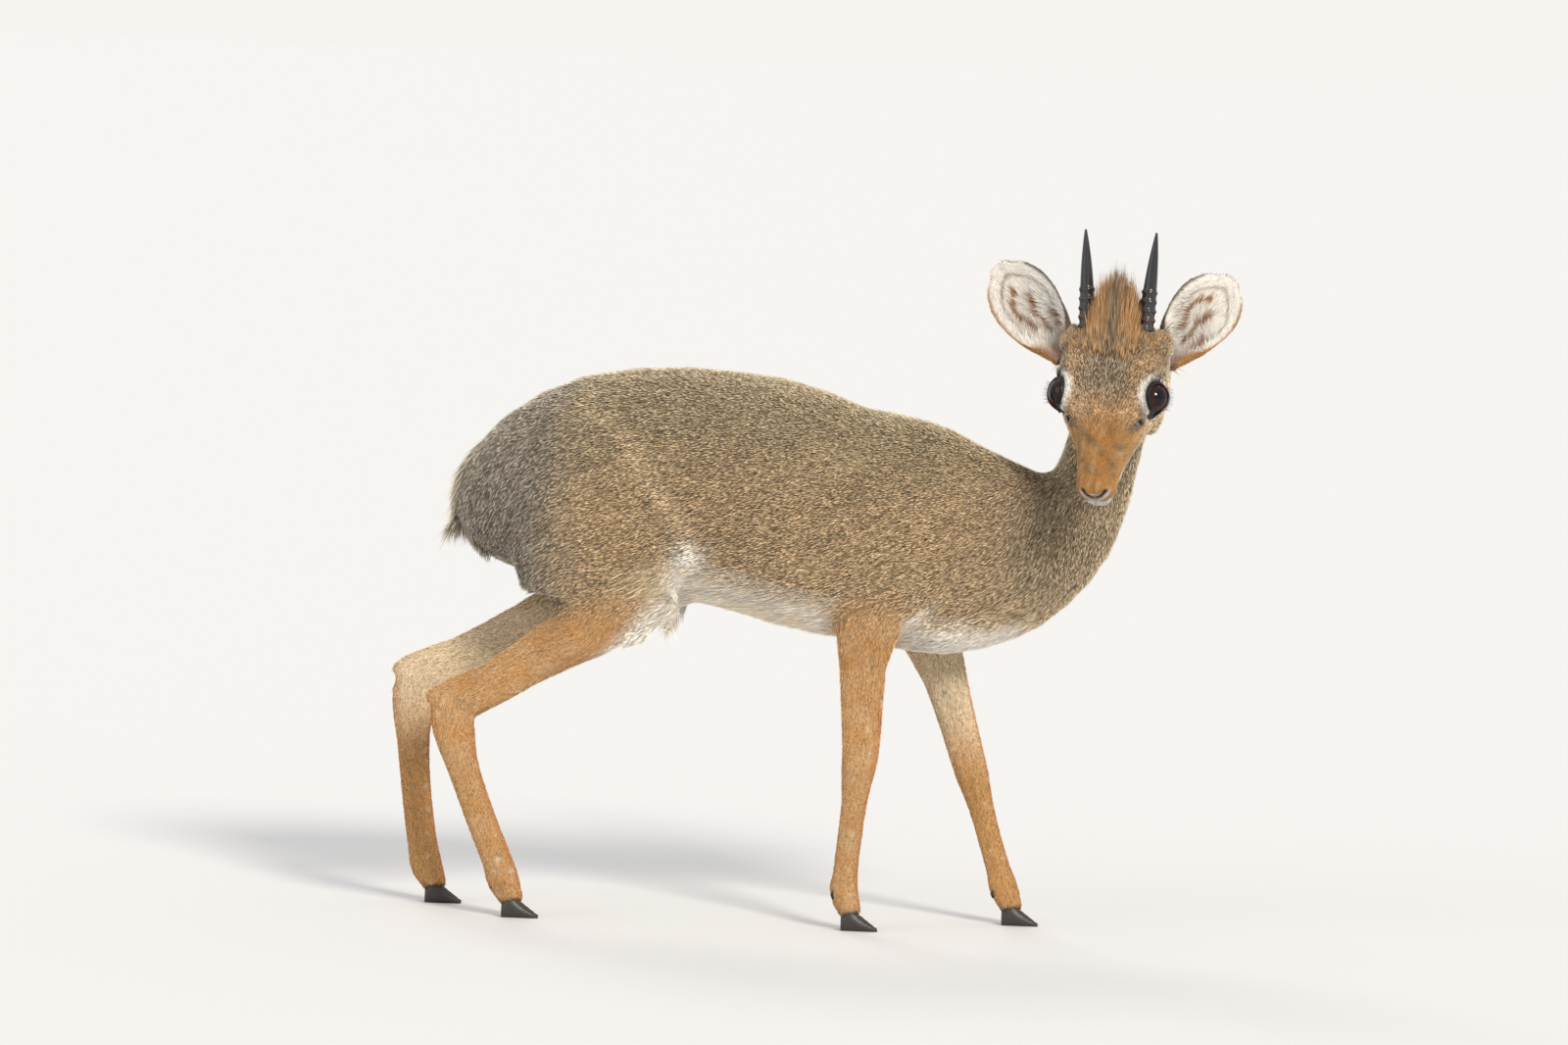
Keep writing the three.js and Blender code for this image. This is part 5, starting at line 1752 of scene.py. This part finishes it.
# %% Claws and dew claws
def hoof_material():
    made, nodes, links, shader = shader_nodes("hoof_horn")
    coordinates = nodes.new("ShaderNodeTexCoord").outputs["Object"]
    layers = nodes.new("ShaderNodeTexWave")
    layers.bands_direction = "Z"
    layers.inputs["Scale"].default_value = 260
    layers.inputs["Distortion"].default_value = 2.0
    layers.inputs["Detail"].default_value = 3
    links.new(coordinates, layers.inputs["Vector"])
    tint = ramp_node(nodes, [(0.0, 0.014), (1.0, 0.05)])
    tint.color_ramp.elements[1].color = (0.055, 0.042, 0.032, 1)
    links.new(layers.outputs["Fac"], tint.inputs[0])
    links.new(tint.outputs[0], shader.inputs["Base Color"])
    raise_surface(nodes, links, shader, layers.outputs["Fac"], 0.3, 0.2 * MM)
    shader.inputs["Roughness"].default_value = 0.38
    return made


HOOF = hoof_material()


CLAW_TOP = [[0.62], [0.97], [0.94], [0.74], [0.52], [0.30], [0.10]]
CLAW_AROUND, CLAW_STEPS = 28, 34


def claw_parts(low, high, inward):
    """A pointed claw in its measured box, flat below; inward is the side of its partner."""
    length, wide, tall = (high - low) / MM
    rings = []
    around = np.linspace(0, 2 * math.pi, CLAW_AROUND, endpoint=False)
    c, up = np.cos(around), np.sin(around)
    for t in np.linspace(0, 1, CLAW_STEPS):
        bulge = 0.80 + 0.20 * math.sin(math.pi * min(t * 1.3, 1))
        half = wide / 2 * bulge * math.sqrt(max(1 - t ** 3.2, 0.012))
        growth_line = 0.10 * math.sin(t * 46)
        top = tall * float(along(CLAW_TOP, t)[0]) + growth_line
        side = half * np.sign(c) * np.abs(c) ** 0.8 * (1 - 0.35 * smooth(0, 1, up))
        side = np.where(c * inward > 0, side * 0.86, side)
        height = top * (0.5 + 0.5 * np.sign(up) * np.abs(up) ** 0.7)
        x = length * t * 0.985 + 0.1
        rings.append(np.column_stack([np.full(CLAW_AROUND, x), side + wide / 2, height]))
    points, faces = loft_parts(rings)
    return points * MM + low, faces


for name in frame["nodes"]:
    if "claw" not in name:
        continue
    low, high = (np.array(corner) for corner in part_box(name))
    partner = name.replace("inner", "outer") if "inner" in name else name.replace("outer", "inner")
    other = np.array(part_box(partner)[0])
    points, faces = claw_parts(low, high, np.sign(other[1] - low[1]))
    claw = recalculated(mesh_object("horn_of_" + name, points, faces))
    ready(claw, HOOF, "hoof", name)

# %% Dew claws
DEW_PATH = [(0, 0), (2.4, -2.0), (3.4, -5.0), (3.2, -7.5)]
DEW_RADII = np.array([2.3, 2.2, 1.7, 0.5])
for leg, line in LEG_LINES.items():
    knee_end, fetlock = line[3], line[4]
    shin = unit(knee_end - fetlock)
    back = unit(np.cross(np.cross(shin, [1, 0, 0]), shin)) * -1
    parts = []
    for across in (-1, 1):
        root = fetlock + back * 4.5 + np.array([0, across * 3.6, 2.0])
        path = [root + back * out + [0, 0, down] for out, down in DEW_PATH]
        parts.append(tube_parts(path, DEW_RADII, 14))
    points, faces = join_parts(parts)
    ready(recalculated(mesh_object("dew_claws_" + leg, to_frame(points), faces)), HOOF, "hoof")
print("claws and dew claws made, now", len(ready_pieces), "pieces without the coat")

# %% [markdown]
# ## Riding and replacing
# The whole animal is one still body. Each piece rides it and hides the plain nodes whose place it takes.
# The templates of the tufts are removed.

# %% Riding and replacing
for piece, slot, nodes_replaced in ready_pieces:
    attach(piece, BODY)
    if nodes_replaced:
        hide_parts(*nodes_replaced)
for piece, slot in coat_pieces:
    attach(piece, BODY)
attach(body_skin, BODY)
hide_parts(*FLESH)
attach(head_skin, BODY)
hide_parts("head")
for template in (SLIVER, LONG_TUFT):
    bpy.data.objects.remove(template)
print(len(ready_pieces) + len(coat_pieces) + 2, "pieces ride the body")

# %% [markdown]
# ## Light and floor
# The animal stands on a wide pale floor under a pale sky, as in a large white studio. The camera sees the
# sky in the floor's own colour, so that no horizon shows, while the sky's light on the animal stays cool
# and even. A soft broad light comes from high on the camera's right, a weak one fills from the left, and
# one lights the back.

# %% Floor
REACH = 40.0
corners = [(-REACH, -REACH, 0), (REACH, -REACH, 0), (REACH, REACH, 0), (-REACH, REACH, 0)]
floor = mesh_object("floor", corners, [(0, 1, 2, 3)])
pale_floor, _, _, shader = shader_nodes("pale_floor")
shader.inputs["Base Color"].default_value = (0.74, 0.73, 0.71, 1)
shader.inputs["Roughness"].default_value = 0.9
floor.data.materials.append(pale_floor)
floor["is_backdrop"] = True
print("the floor is", round(2 * REACH), "m wide")

# %% Sky and lights
world = bpy.data.worlds.new("studio")
bpy.context.scene.world = world
world.use_nodes = True
sky_nodes, sky_links = world.node_tree.nodes, world.node_tree.links
sky = sky_nodes["Background"]
sky.inputs[0].default_value = (0.96, 0.97, 1.0, 1)
sky.inputs[1].default_value = 0.72
seen = sky_nodes.new("ShaderNodeBackground")
seen.inputs[0].default_value = (0.922, 0.905, 0.872, 1)
seen.inputs[1].default_value = 1.0
ray, either = sky_nodes.new("ShaderNodeLightPath"), sky_nodes.new("ShaderNodeMixShader")
sky_links.new(ray.outputs["Is Camera Ray"], either.inputs[0])
sky_links.new(sky.outputs[0], either.inputs[1])
sky_links.new(seen.outputs[0], either.inputs[2])
sky_links.new(either.outputs[0], sky_nodes["World Output"].inputs[0])


def far_light(name, place, strength, softness, color):
    data = bpy.data.lights.new(name, "SUN")
    data.energy = strength
    data.angle = math.radians(softness)
    data.color = color
    made = bpy.data.objects.new(name, data)
    bpy.context.scene.collection.objects.link(made)
    made.rotation_euler = Vector([-v for v in place]).to_track_quat("-Z", "Y").to_euler()


far_light("key", (0.55, -1.0, 0.75), 2.3, 14, (1.0, 0.95, 0.87))
far_light("fill", (-1.0, -0.7, 0.5), 0.45, 40, (0.9, 0.95, 1.0))
far_light("rim", (-0.4, 1.0, 0.9), 0.5, 20, (1.0, 0.98, 0.95))
bpy.context.scene.view_settings.view_transform = "Standard"
print("three lights shine on a pale floor")

# %% The size, and the end
low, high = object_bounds()
print("the dressed model is", [round(v / MM) for v in high - low], "mm")
